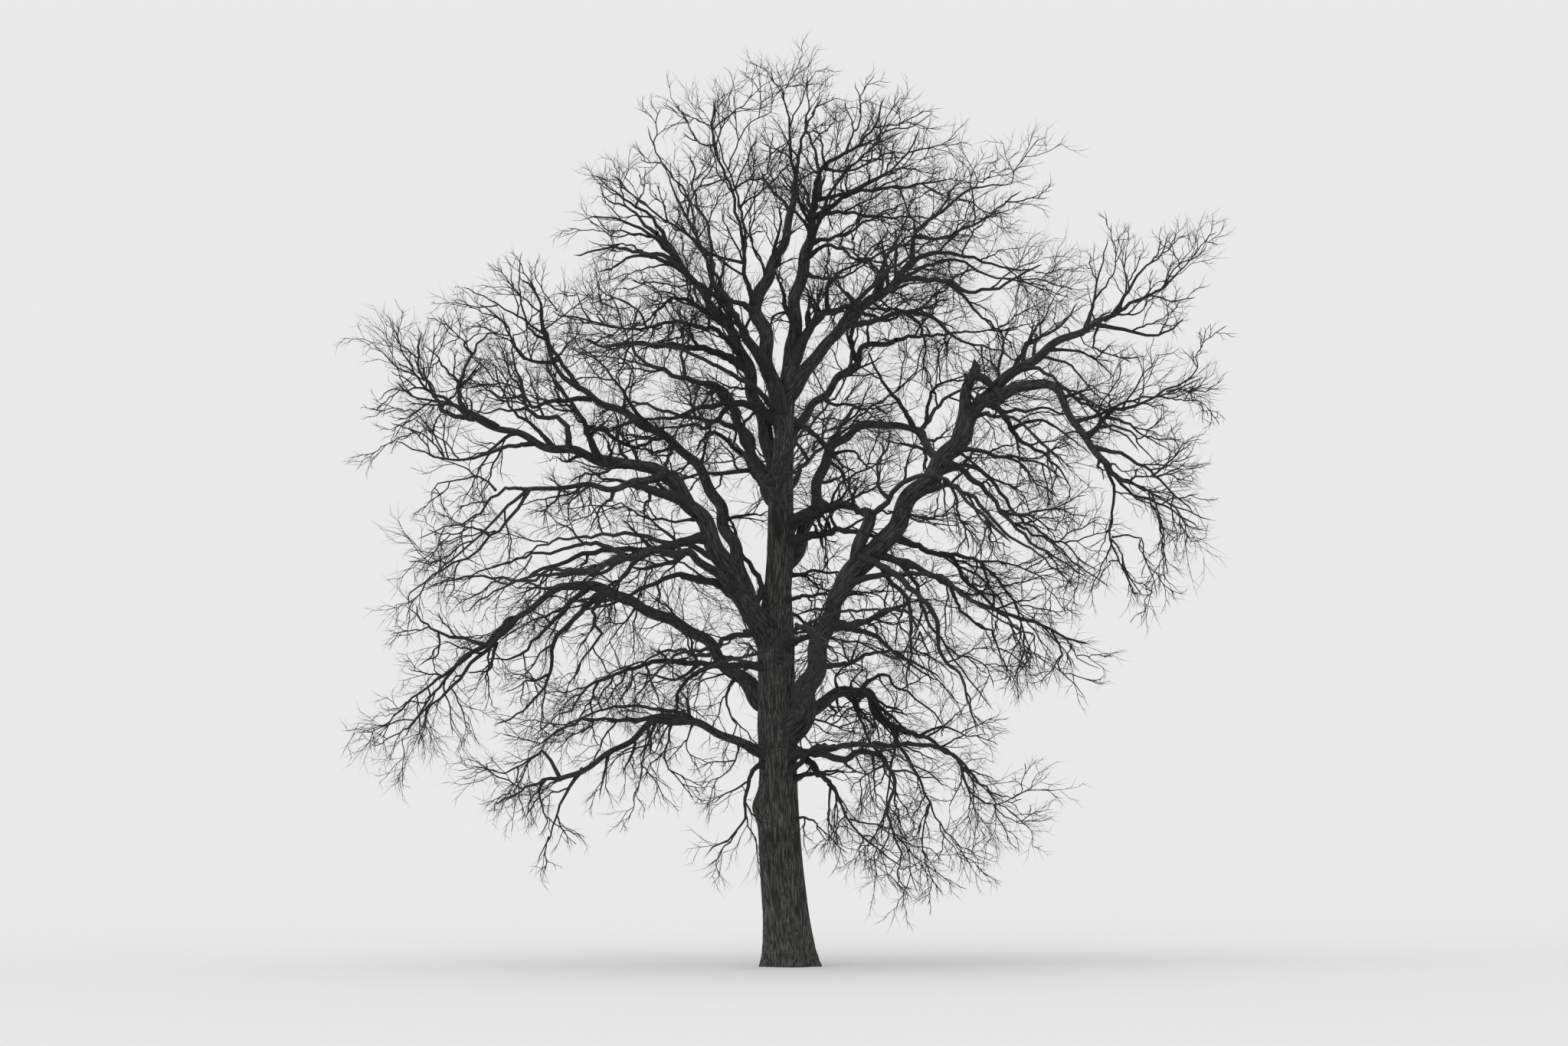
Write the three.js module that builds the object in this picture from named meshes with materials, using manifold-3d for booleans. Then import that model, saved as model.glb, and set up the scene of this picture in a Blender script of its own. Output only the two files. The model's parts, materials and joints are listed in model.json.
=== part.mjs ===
// A bare, open-grown winter tree: the trunk, its main boughs and the masses of twigs at their ends.
// Millimetres, +Z up, the foot's flat cut at z = 0; the tree is seen along +Y, from EYE.
import * as THREE from 'three';
import { mergeVertices } from 'three/addons/utils/BufferGeometryUtils.js';
import Module from 'manifold-3d';

const wasm = await Module();
wasm.setup();

// Driving sizes: lengths are in metres here and become millimetres at M
const M = 1000;
const EYE = [-0.13, -81, 3.0];          // where the tree is looked at from
const GAP = 0.0005;                     // between touching pieces
const SEED = 1416;

// The trunk: [height, half its width] at each level, wide at the foot and again under the first boughs
const TRUNK_WAY = [[0, 0, 0], [-0.2, 0, 2.4], [-0.25, 0, 4.4], [-0.3, 0.05, 6], [-0.3, 0.1, 7.5],
  [-0.2, 0.1, 8.9], [-0.2, 0, 10.4], [-0.1, -0.05, 11.9], [0, 0, 13.1]];
const TRUNK_GIRTH = [[0, 0.56], [0.4, 0.53], [1.1, 0.49], [2.2, 0.47], [3, 0.46], [4.2, 0.42], [5.2, 0.44],
  [6.2, 0.4], [7.2, 0.4], [8.2, 0.29], [10, 0.28], [11.2, 0.24], [12.2, 0.19], [13.2, 0.16]];
const TRUNK_SIDES = 16;
const TRUNK_RINGS = 26;
const FLARE = { out: 0.12, rise: 0.45, toes: 5 };       // how far and how high the root flare swells
const BURL = { height: 3.45, tall: 0.3, out: 0.14, side: Math.PI };

const LIMB_SIDES = 6;
const LIMB_STEP = 0.55;                 // between the rings of a bough
const LIMB_CROOK = 0.055;               // how far an old bough wanders off its smooth line

// The twigs' rule, by order: 0 is a mass's stem, 1 grows from the stem, 2 from those
const STEM_SIDES = 4;
const STEM_STEP = 1;
const STEM_CROOK = 0.09;
const STEM_TIP = 0.012;                 // half the stem's thickness at its end; a twig ends in a point
const TWIG_SIDES = 3;
const ORDERS = [
  null,
  { steps: 2, perMetre: 1.55, count: [5, 12], angle: [0.7, 1.15], crook: 0.32, lift: 0.2 },
  { steps: 1, count: [2, 2], angle: [0.6, 1.0], crook: 0.2, lift: 0.15, reach: 0.62 },
];
const FIRST_TWIG = 0.12;                // part of a stem or twig that stays bare at its foot
const GOLDEN_PART = 0.618034;
const GOLDEN_TURN = 2.399963;
const TWIG_TO_STEM = 0.45;              // a twig's thickness beside that of what it grows from
const ROOM_BETWEEN = 0.05;              // kept free between two masses
const ROOM_AT_LIMB = 0.012;             // kept free between a twig and a bough

// Boughs. thick: across at the foot and at the tip. along: metres from the parent's foot.
// way: [across, back, up] as they measure in the trunk's plane, moved along the line of sight to their depth.
const TIP = Infinity;
const BOUGHS = [
  { name: 'leader_centre', parent: 'trunk', along: 12.9, thick: [0.29, 0.13],
    way: [[0.1, 0.3, 14.2], [0.3, 0.7, 15.5], [0.5, 0.9, 16.3], [0.65, 1, 16.9]] },
  { name: 'leader_left', parent: 'trunk', along: 11.7, thick: [0.27, 0.1],
    way: [[-0.5, -0.5, 13.5], [-0.7, -0.8, 14.55], [-0.3, -0.7, 15.4], [0, -0.4, 16.5], [0.15, -0.2, 17.3]] },
  { name: 'upper_left_bough', parent: 'trunk', along: 10.3, thick: [0.35, 0.12],
    way: [[-0.8, 0.6, 12.5], [-1.3, 1.1, 13.9], [-1.8, 1.4, 14.6], [-2.9, 1.8, 16.05]] },
  { name: 'upper_right_bough', parent: 'trunk', along: 12.4, thick: [0.32, 0.14],
    way: [[0.7, -0.5, 13.45], [1.3, -0.9, 14.15], [2, -1.3, 14.75], [2.7, -1.6, 15.4]] },
  { name: 'right_shoulder_bough', parent: 'trunk', along: 11.3, thick: [0.22, 0.11],
    way: [[0.55, 0.8, 12.3], [1.05, 1.6, 12.8], [1.6, 2.3, 13.45], [2.3, 3, 13.7]] },
  { name: 'right_arch_bough', parent: 'trunk', along: 8.5, thick: [0.29, 0.14],
    way: [[0.45, 0.9, 9.85], [0.8, 1.8, 11.05], [1.35, 2.5, 11.65], [2.1, 3.2, 11.85], [2.85, 3.8, 11.65]] },
  { name: 'right_big_bough', parent: 'trunk', along: 4.7, thick: [0.52, 0.26],
    way: [[0.25, -0.3, 5.6], [0.55, -0.8, 6.6], [0.95, -1.3, 7.75], [1.4, -1.8, 8.8], [1.75, -2.2, 9.9]] },
  { name: 'right_high_bough', parent: 'right_big_bough', along: 4.3, thick: [0.35, 0.13],
    way: [[2.15, -1.9, 9.4], [2.7, -1.7, 10.2], [3.5, -1.5, 11.25], [4.2, -1.4, 12.35], [5.05, -1.5, 13.1],
      [6.9, -1.9, 14.15]] },
  { name: 'broken_stub', parent: 'right_high_bough', along: 3.9, thick: [0.24, 0.2],
    way: [[3.95, -1.5, 12.55], [4.1, -1.6, 13.2]] },
  { name: 'elbow_bough', parent: 'right_high_bough', along: 5, thick: [0.2, 0.11],
    way: [[5.15, -1.7, 12.7], [5.8, -2, 12.75], [6.2, -2.4, 11.95], [7, -3, 10.9]] },
  { name: 'low_right_bough', parent: 'trunk', along: 5.1, thick: [0.3, 0.15],
    way: [[0.85, 0.5, 5.8], [1.65, 1.3, 6], [1.85, 1.7, 5.5], [2.5, 2.3, 5.1]] },
  { name: 'left_low_bough', parent: 'trunk', along: 4.6, thick: [0.22, 0.1],
    way: [[-1.3, -0.6, 4.95], [-2.2, -1.2, 5.3], [-3.05, -1.7, 5.2], [-4, -2.2, 4.6], [-5, -2.6, 4.05]] },
  { name: 'left_sweep_inner', parent: 'trunk', along: 5.4, thick: [0.3, 0.22],
    way: [[-1.1, 0.4, 6.3], [-1.7, 0.7, 6.9], [-2.9, 1.2, 7.65], [-4.05, 1.6, 8.2]] },
  { name: 'left_sweep_outer', parent: 'left_sweep_inner', along: TIP, thick: [0.21, 0.1],
    way: [[-4.85, 1.7, 8.3], [-5.6, 1.8, 7.9], [-6.4, 1.8, 7.2], [-7.25, 1.8, 6.6]] },
  { name: 'west_outer_rise', parent: 'trunk', along: 6.8, thick: [0.46, 0.32],
    way: [[-0.8, -0.5, 7.7], [-1.3, -0.9, 8.6], [-1.9, -1.3, 9.6], [-2.5, -1.7, 10.55]] },
  { name: 'west_outer_reach', parent: 'west_outer_rise', along: TIP, thick: [0.3, 0.13],
    way: [[-3.05, -1.9, 10.9], [-4.05, -2.1, 11.05], [-5.25, -2.3, 11.35], [-7.05, -2.5, 12]] },
  { name: 'west_inner_bough', parent: 'west_outer_rise', along: 1.1, thick: [0.34, 0.14],
    way: [[-1.2, 0, 9.1], [-1.6, 1, 10.15], [-2.3, 1.8, 11.25], [-3.4, 2.3, 11.95], [-4.65, 2.7, 12.65]] },
  { name: 'left_shelf_bough', parent: 'west_outer_rise', along: 1.7, thick: [0.2, 0.1],
    way: [[-2.2, -2.2, 8.95], [-3.05, -3.2, 9.05], [-4.05, -4.3, 8.75], [-4.9, -5.2, 8.55]] },
  { name: 'left_wand_bough', parent: 'west_outer_reach', along: 0.5, thick: [0.17, 0.09],
    way: [[-3.5, -2.7, 10.5], [-4.55, -3.4, 10.45], [-5.75, -4.1, 10.4]] },
  { name: 'left_high_bough', parent: 'trunk', along: 9.9, thick: [0.25, 0.16],
    way: [[-0.75, 1, 11.1], [-1.1, 1.9, 11.9], [-1.35, 2.8, 12.3]] },
];

// Masses of twigs. thick: across the stem at its foot. spread: how far the twigs stand off the stem.
// lift: 1 where the twigs rise, -1 where they hang.
const MASSES = [
  { name: 'top_centre_twigs', parent: 'leader_centre', along: TIP, thick: 0.11, spread: 1, lift: 1,
    way: [[0.6, 1.3, 17.6], [0.4, 1.5, 18.4], [0.5, 1.6, 19]] },
  { name: 'top_right_twigs', parent: 'leader_centre', along: 3.3, thick: 0.09, spread: 1.1, lift: 1,
    way: [[1.15, 0.6, 17.4], [1.75, 0.2, 17.9], [2.6, -0.2, 18.4]] },
  { name: 'top_left_twigs', parent: 'leader_left', along: TIP, thick: 0.09, spread: 1, lift: 1,
    way: [[0.1, -0.3, 18], [-0.1, -0.5, 18.7], [-0.2, -0.6, 19.2]] },
  { name: 'leader_west_twigs', parent: 'leader_left', along: 2.8, thick: 0.12, spread: 1.3, lift: 1,
    way: [[-1, -1.3, 15.3], [-0.95, -1.7, 16.15], [-1.25, -2, 17.1], [-1.75, -2.5, 18.6]] },
  { name: 'upper_left_twigs', parent: 'upper_left_bough', along: TIP, thick: 0.1, spread: 1.3, lift: 1,
    way: [[-3.3, 2.1, 16.4], [-3.8, 2.4, 16.7], [-4.2, 2.6, 17]] },
  { name: 'upper_left_front_twigs', parent: 'leader_left', along: 1.1, thick: 0.13, spread: 1.4, lift: 0.8,
    way: [[-1, -1.3, 13.8], [-1.9, -3.2, 15.6], [-2.5, -4, 16.8], [-2.8, -4.6, 17.7]] },
  { name: 'upper_right_twigs', parent: 'upper_right_bough', along: TIP, thick: 0.12, spread: 1.4, lift: 0.8,
    way: [[2.95, -2, 16.25], [3.8, -2.6, 16.9], [5, -3.6, 17.2]] },
  { name: 'upper_right_back_twigs', parent: 'upper_right_bough', along: 2.6, thick: 0.11, spread: 1.4, lift: 0.4,
    way: [[3.2, -0.5, 15.5], [4.35, 0.6, 15.2], [5.7, 2.4, 14.9]] },
  { name: 'right_shoulder_twigs', parent: 'right_shoulder_bough', along: TIP, thick: 0.1, spread: 1.5, lift: 0.5,
    way: [[3.2, 4, 13.85], [4.1, 5, 13.8], [5.05, 6, 14.15]] },
  { name: 'right_arch_twigs', parent: 'right_arch_bough', along: TIP, thick: 0.12, spread: 1.5, lift: 0.6,
    way: [[3.2, 4.6, 12.3], [4.1, 5.1, 12.7], [5.2, 5.5, 12.5]] },
  { name: 'right_inner_twigs', parent: 'trunk', along: 9.2, thick: 0.17, spread: 1.4, lift: 0.2,
    way: [[0.6, 1.6, 10], [1.5, 3.8, 9.95], [3.8, 8, 9.6]] },
  { name: 'right_far_twigs', parent: 'right_high_bough', along: TIP, thick: 0.11, spread: 1.3, lift: 0.9,
    way: [[7.55, -2.2, 14.5], [8.1, -2.5, 14.8], [8.6, -2.7, 15.2]] },
  { name: 'elbow_up_twigs', parent: 'elbow_bough', along: 2.7, thick: 0.09, spread: 1.2, lift: 0.7,
    way: [[7.05, -2.8, 12.2], [7.9, -3.2, 12.4], [9.2, -3.9, 12.9]] },
  { name: 'elbow_out_twigs', parent: 'elbow_bough', along: TIP, thick: 0.095, spread: 1.2, lift: -0.3,
    way: [[7.4, -3.2, 10.5], [8.1, -3.6, 10.3], [9.4, -4.3, 9.7]] },
  { name: 'elbow_drop_twigs', parent: 'elbow_bough', along: 3.9, thick: 0.08, spread: 1, lift: -1,
    way: [[7.1, -2.4, 10], [7.15, -2.1, 9.1], [7.8, -2, 8]] },
  { name: 'right_mid_front_twigs', parent: 'right_high_bough', along: 2.6, thick: 0.15, spread: 1.4, lift: -0.5,
    way: [[3.6, -2.4, 10.45], [4.75, -4.2, 9.5], [6.2, -5.8, 8.3]] },
  { name: 'right_mid_back_twigs', parent: 'right_high_bough', along: 3.1, thick: 0.15, spread: 1.5, lift: -0.5,
    way: [[3.95, -0.7, 10.9], [5.3, 1.4, 9.6], [7.05, 3.2, 8.25]] },
  { name: 'right_low_front_twigs', parent: 'right_big_bough', along: 4.2, thick: 0.15, spread: 1.5, lift: -0.6,
    way: [[2.7, -2.9, 8.6], [3.8, -4.6, 8.1], [5.4, -6.4, 7.1]] },
  { name: 'right_low_back_twigs', parent: 'right_high_bough', along: 0.8, thick: 0.15, spread: 1.4, lift: -0.8,
    way: [[2.7, -1.2, 8.6], [3.1, -0.4, 7.4], [4.5, 0.6, 5.5]] },
  { name: 'low_right_out_twigs', parent: 'low_right_bough', along: TIP, thick: 0.12, spread: 1.4, lift: -0.6,
    way: [[3.3, 3, 4.9], [4, 3.8, 4], [4.9, 4.8, 3.6]] },
  { name: 'low_right_drop_twigs', parent: 'low_right_bough', along: 2.8, thick: 0.1, spread: 1.1, lift: -0.9,
    way: [[2.7, 1.9, 4.4], [2.95, 2.1, 3.5], [3.8, 2.3, 2.5]] },
  { name: 'low_right_front_twigs', parent: 'trunk', along: 4.1, thick: 0.14, spread: 1.5, lift: -0.6,
    way: [[0.6, -1.4, 4.7], [1.7, -3.6, 4.8], [3.5, -6.6, 3.9]] },
  { name: 'lowest_right_twigs', parent: 'trunk', along: 3.9, thick: 0.12, spread: 1.1, lift: -0.9,
    way: [[0.7, -0.6, 4.2], [1.2, -1.1, 3.2], [2.6, -2.1, 2]] },
  { name: 'left_low_out_twigs', parent: 'left_low_bough', along: TIP, thick: 0.085, spread: 1.2, lift: -0.7,
    way: [[-5.5, -2.9, 4], [-6, -3.2, 3.8], [-6.5, -3.5, 3.5]] },
  { name: 'left_low_back_twigs', parent: 'left_low_bough', along: 2.2, thick: 0.12, spread: 1.4, lift: -0.6,
    way: [[-2.8, -0.3, 5.6], [-4.2, 1.6, 5.5], [-5.8, 3.4, 4.6]] },
  { name: 'left_sweep_twigs', parent: 'left_sweep_outer', along: TIP, thick: 0.085, spread: 1.3, lift: -0.7,
    way: [[-7.6, 1.8, 6.1], [-8.1, 1.9, 5.5], [-8.5, 2, 4.9]] },
  { name: 'left_far_back_twigs', parent: 'trunk', along: 6.1, thick: 0.15, spread: 1.6, lift: -0.4,
    way: [[-1.2, 1.6, 6.7], [-2.8, 4.1, 6.8], [-4.5, 6.8, 6]] },
  { name: 'far_left_twigs', parent: 'west_outer_reach', along: TIP, thick: 0.11, spread: 1.3, lift: 0.5,
    way: [[-7.6, -2.6, 12.4], [-8.2, -2.7, 12.9], [-8.7, -2.8, 13.3]] },
  { name: 'far_left_low_twigs', parent: 'west_outer_reach', along: 3.2, thick: 0.1, spread: 1.2, lift: -0.1,
    way: [[-6.6, -3, 11.2], [-7.6, -3.4, 11.1], [-8.8, -3.8, 11.5]] },
  { name: 'left_upper_twigs', parent: 'west_inner_bough', along: TIP, thick: 0.12, spread: 1.5, lift: 0.8,
    way: [[-5.2, 2.9, 13.35], [-5.4, 3.1, 14.3], [-5.8, 3.4, 15.1]] },
  { name: 'left_shelf_twigs', parent: 'left_shelf_bough', along: TIP, thick: 0.085, spread: 1.5, lift: -0.3,
    way: [[-5.65, -6.1, 8.45], [-6.4, -6.9, 8.15], [-7.2, -7.6, 7.7]] },
  { name: 'left_shelf_back_twigs', parent: 'west_inner_bough', along: 0.9, thick: 0.16, spread: 1.5, lift: -0.2,
    way: [[-2.7, 0.9, 9.3], [-4.65, 3.4, 9.3], [-6.6, 6.2, 8.7]] },
  { name: 'left_wand_twigs', parent: 'left_wand_bough', along: TIP, thick: 0.08, spread: 1.2, lift: -0.6,
    way: [[-6.4, -4.5, 9.8], [-7.25, -5.1, 8.9], [-8, -5.6, 8.3]] },
  { name: 'left_high_back_twigs', parent: 'left_high_bough', along: TIP, thick: 0.14, spread: 1.6, lift: 0.5,
    way: [[-1.95, 4, 12.75], [-2.9, 5.5, 13.1], [-4.4, 7.4, 13.4]] },
  { name: 'left_high_front_twigs', parent: 'trunk', along: 12, thick: 0.15, spread: 1.6, lift: 0.5,
    way: [[-1.1, -1.6, 12.9], [-2.9, -4.6, 13.6], [-4.8, -7, 13.4]] },
  { name: 'front_high_twigs', parent: 'trunk', along: 9.4, thick: 0.17, spread: 1.6, lift: 0.4,
    way: [[-0.4, -1.8, 10.3], [-0.9, -5, 10.9], [-1.35, -8.4, 11.7]] },
  { name: 'back_high_twigs', parent: 'trunk', along: 10, thick: 0.17, spread: 1.6, lift: 0.4,
    way: [[0.2, 1.8, 10.8], [0.6, 5, 11.4], [1, 8.4, 12.2]] },
  { name: 'front_low_twigs', parent: 'trunk', along: 6.4, thick: 0.16, spread: 1.6, lift: -0.3,
    way: [[0.05, -1.8, 7.3], [0.6, -5, 7.4], [1.1, -8, 6.6]] },
  { name: 'back_low_twigs', parent: 'trunk', along: 5.9, thick: 0.17, spread: 1.6, lift: -0.3,
    way: [[-0.5, 1.8, 7], [-1.1, 5, 7.2], [-1.9, 8, 6.4]] },
];

// A piece of the way at its true depth: what is farther is larger than it looks
function atDepth([across, back, up]) {
  const grown = 1 + back / -EYE[1];
  return new THREE.Vector3(EYE[0] + (across - EYE[0]) * grown, back, EYE[2] + (up - EYE[2]) * grown);
}

// Seeded chances: each twig has a number of its own, worked out from that of what it grows from
function chances(number) {
  let state = number >>> 0;
  return () => {
    state = (state + 0x6d2b79f5) >>> 0;
    let mixed = Math.imul(state ^ (state >>> 15), state | 1);
    mixed ^= mixed + Math.imul(mixed ^ (mixed >>> 7), mixed | 61);
    return ((mixed ^ (mixed >>> 14)) >>> 0) / 4294967296;
  };
}

function childNumber(number, child) {
  const mixed = Math.imul((number ^ Math.imul(child + 1, 0x9e3779b1)) >>> 0, 0x85ebca6b) >>> 0;
  return (mixed ^ (mixed >>> 13)) >>> 0;
}

const span = (chance, low, high) => low + (high - low) * chance();

const wayThrough = (points) => new THREE.CatmullRomCurve3(points, false, 'catmullrom', 0.5);

// A smooth way through a few points, cut into steps and made a little crooked between its ends
function crookedWay(points, steps, crook, number) {
  const chance = chances(number);
  const way = wayThrough(points).getPoints(steps);
  for (let i = 1; i < steps; i += 1) {
    way[i].x += crook * (2 * chance() - 1);
    way[i].y += crook * (2 * chance() - 1);
    way[i].z += crook * (2 * chance() - 1);
  }
  return way;
}

// Where a length along a way lies: its place, direction and thickness there
function placeAlong(limb, part) {
  const last = limb.way.length - 1;
  const index = Math.min(last - 1, Math.floor(part * last));
  const within = part * last - index;
  return {
    place: limb.way[index].clone().lerp(limb.way[index + 1], within),
    heading: limb.way[index + 1].clone().sub(limb.way[index]).normalize(),
    radius: limb.radii[index] * (1 - within) + limb.radii[index + 1] * within,
  };
}

function partAt(limb, along) {
  const last = limb.way.length - 1;
  let left = along;
  for (let i = 0; i < last; i += 1) {
    const step = limb.way[i].distanceTo(limb.way[i + 1]);
    if (left <= step) return (i + left / step) / last;
    left -= step;
  }
  return 1;
}

// Two directions square to each step of a way, turned with it from its foot
function sideDirections(way) {
  const heading = way[1].clone().sub(way[0]).normalize();
  const across = new THREE.Vector3(0, 1, 0);
  if (Math.abs(heading.y) > 0.9) across.set(1, 0, 0);
  let side = across.cross(heading).normalize();
  return way.map((point, i) => {
    const from = way[Math.max(0, i - 1)];
    const to = way[Math.min(way.length - 1, i + 1)];
    const ahead = to.clone().sub(from).normalize();
    side = side.clone().addScaledVector(ahead, -side.dot(ahead)).normalize();
    return { side, other: ahead.clone().cross(side), ahead };
  });
}

// A closed round limb: a cylinder whose rings follow the way, its ends moved out by the room it is to leave
function limbGeometry(way, radii, sides, room = 0) {
  const steps = way.length - 1;
  const shape = new THREE.CylinderGeometry(1, 1, 1, sides, steps);
  const frames = sideDirections(way);
  const place = shape.attributes.position;
  for (let i = 0; i < place.count; i += 1) {
    const ring = Math.round((place.getY(i) + 0.5) * steps);
    const frame = frames[ring];
    const radius = radii[ring] + room;
    const end = ring === 0 ? -room : (ring === steps ? room : 0);
    const point = way[ring].clone()
      .addScaledVector(frame.side, place.getZ(i) * radius)
      .addScaledVector(frame.other, place.getX(i) * radius)
      .addScaledVector(frame.ahead, end)
      .multiplyScalar(M);
    place.setXYZ(i, point.x, point.y, point.z);
  }
  return shape;
}

function between(table, height) {
  const next = table.findIndex(([level]) => level >= height);
  if (next <= 0) return table[next === 0 ? 0 : table.length - 1][1];
  const [[low, from], [high, to]] = [table[next - 1], table[next]];
  return from + (to - from) * (height - low) / (high - low);
}

// How far the trunk's surface stands off its middle, towards a side, at a height
function trunkRadius(height, turn) {
  const toes = 0.5 + 0.5 * Math.cos(FLARE.toes * turn + 0.9 + 0.5 * Math.sin(2 * turn));
  const flare = FLARE.out * Math.exp(-height / FLARE.rise) * (0.25 + toes);
  const offBurl = Math.cos(turn - BURL.side);
  const burl = BURL.out * Math.exp(-(((height - BURL.height) / BURL.tall) ** 2)) * Math.max(0, offBurl) ** 2;
  const waist = 0.012 * Math.sin(3 * turn + height * 1.3) + 0.01 * Math.cos(2 * turn - height * 0.8);
  return between(TRUNK_GIRTH, height) + flare + burl + waist;
}

// The trunk's rings lie flat, so that its foot is one flat cut on the ground
function trunkGeometry(trunk, room = 0) {
  const shape = new THREE.CylinderGeometry(1, 1, 1, TRUNK_SIDES, TRUNK_RINGS);
  const place = shape.attributes.position;
  for (let i = 0; i < place.count; i += 1) {
    const ring = Math.round((place.getY(i) + 0.5) * TRUNK_RINGS);
    const middle = trunk.way[ring];
    const turn = Math.atan2(place.getX(i), place.getZ(i));
    const off = Math.hypot(place.getX(i), place.getZ(i)) > 0.5 ? trunkRadius(middle.z, turn) + room : 0;
    const end = ring === TRUNK_RINGS ? room : 0;
    place.setXYZ(i, M * (middle.x + off * Math.cos(turn)), M * (middle.y + off * Math.sin(turn)),
      M * (middle.z + end));
  }
  return shape;
}

// Joining and cutting. A point at a twig's end leaves faces of no size, which are dropped.
function solidOf(geometry) {
  const bare = geometry.clone();
  bare.deleteAttribute('normal');
  bare.deleteAttribute('uv');
  const merged = mergeVertices(bare, 1e-4);
  const corners = merged.index.array;
  const kept = [];
  for (let i = 0; i < corners.length; i += 3) {
    const [a, b, c] = [corners[i], corners[i + 1], corners[i + 2]];
    if (a !== b && b !== c && c !== a) kept.push(a, b, c);
  }
  return new wasm.Manifold(new wasm.Mesh({
    numProp: 3,
    vertProperties: new Float32Array(merged.attributes.position.array),
    triVerts: new Uint32Array(kept),
  }));
}

function geometryOf(solid) {
  const mesh = solid.getMesh();
  const geometry = new THREE.BufferGeometry();
  geometry.setAttribute('position', new THREE.BufferAttribute(new Float32Array(mesh.vertProperties), 3));
  geometry.setIndex(new THREE.BufferAttribute(new Uint32Array(mesh.triVerts), 1));
  geometry.computeVertexNormals();
  return geometry;
}

// What a cut leaves: the largest piece, without scraps
function largest(solid) {
  return solid.decompose().reduce((best, piece) => (piece.volume() > best.volume() ? piece : best));
}

function growLimb(name, points, thick, step, crook, number) {
  const steps = Math.max(3, Math.round(wayThrough(points).getLength() / step));
  const way = crookedWay(points, steps, crook, number);
  const radii = way.map((_, i) => (thick[0] + (thick[1] - thick[0]) * (i / steps) ** 0.8) / 2);
  return { name, way, radii };
}

// The tree's limbs by name, each with its way and its thickness along it
const limbs = new Map();

function growTrunk() {
  const way = wayThrough(TRUNK_WAY.map((p) => new THREE.Vector3(...p))).getPoints(TRUNK_RINGS * 3);
  const top = TRUNK_WAY[TRUNK_WAY.length - 1][2];
  const rings = [];
  for (let ring = 0; ring <= TRUNK_RINGS; ring += 1) {
    const height = top * (ring / TRUNK_RINGS) ** 1.25;
    const after = Math.max(1, way.findIndex((point) => point.z >= height - 1e-9));
    const [below, above] = [way[after - 1], way[after]];
    rings.push(below.clone().lerp(above, (height - below.z) / (above.z - below.z)));
  }
  rings[0].z = 0;
  limbs.set('trunk', { name: 'trunk', way: rings, radii: rings.map((p) => between(TRUNK_GIRTH, p.z)) });
}

function growBough(bough, order) {
  const parent = limbs.get(bough.parent);
  const start = placeAlong(parent, partAt(parent, bough.along));
  const points = [start.place, ...bough.way.map(atDepth)];
  limbs.set(bough.name, growLimb(bough.name, points, bough.thick, LIMB_STEP, LIMB_CROOK, SEED + order));
}

// A mass's stem starts inside what carries it, so that the cut round its parent leaves a flush seat
function growStem(mass, order) {
  const parent = limbs.get(mass.parent);
  const start = placeAlong(parent, partAt(parent, mass.along));
  const points = [start.place, ...mass.way.map(atDepth)];
  const long = wayThrough(points).getLength();
  const steps = Math.max(4, Math.round(long / STEM_STEP));
  const way = crookedWay(points, steps, STEM_CROOK, SEED + 100 + order);
  const foot = Math.min(mass.thick / 2, 0.9 * start.radius);
  const radii = way.map((_, i) => foot + (STEM_TIP - foot) * (i / steps) ** 0.9);
  return { name: mass.name, way, radii, long, spread: mass.spread, lift: mass.lift, number: SEED + 500 + order };
}

// How far a point is from a way, and the least room to its surface
function distances(point, limb) {
  let [off, room] = [Infinity, Infinity];
  const [step, reach, near] = [new THREE.Vector3(), new THREE.Vector3(), new THREE.Vector3()];
  for (let i = 0; i + 1 < limb.way.length; i += 1) {
    step.subVectors(limb.way[i + 1], limb.way[i]);
    reach.subVectors(point, limb.way[i]);
    const part = Math.min(1, Math.max(0, reach.dot(step) / step.lengthSq()));
    const away = near.copy(limb.way[i]).addScaledVector(step, part).distanceTo(point);
    off = Math.min(off, away);
    room = Math.min(room, away - limb.radii[i] * (1 - part) - limb.radii[i + 1] * part);
  }
  return { off, room };
}

// A mass's space: nearer its own stem than any other's, no farther off than its spread, clear of every limb
function hasRoom(point, radius, stem, stems) {
  const own = distances(point, stem).off;
  if (own > stem.spread || point.z < 0.4) return false;
  for (const other of stems) {
    if (other !== stem && distances(point, other).off < own + ROOM_BETWEEN) return false;
  }
  for (const limb of limbs.values()) {
    if (distances(point, limb).room < radius + ROOM_AT_LIMB) return false;
  }
  return true;
}

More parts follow.
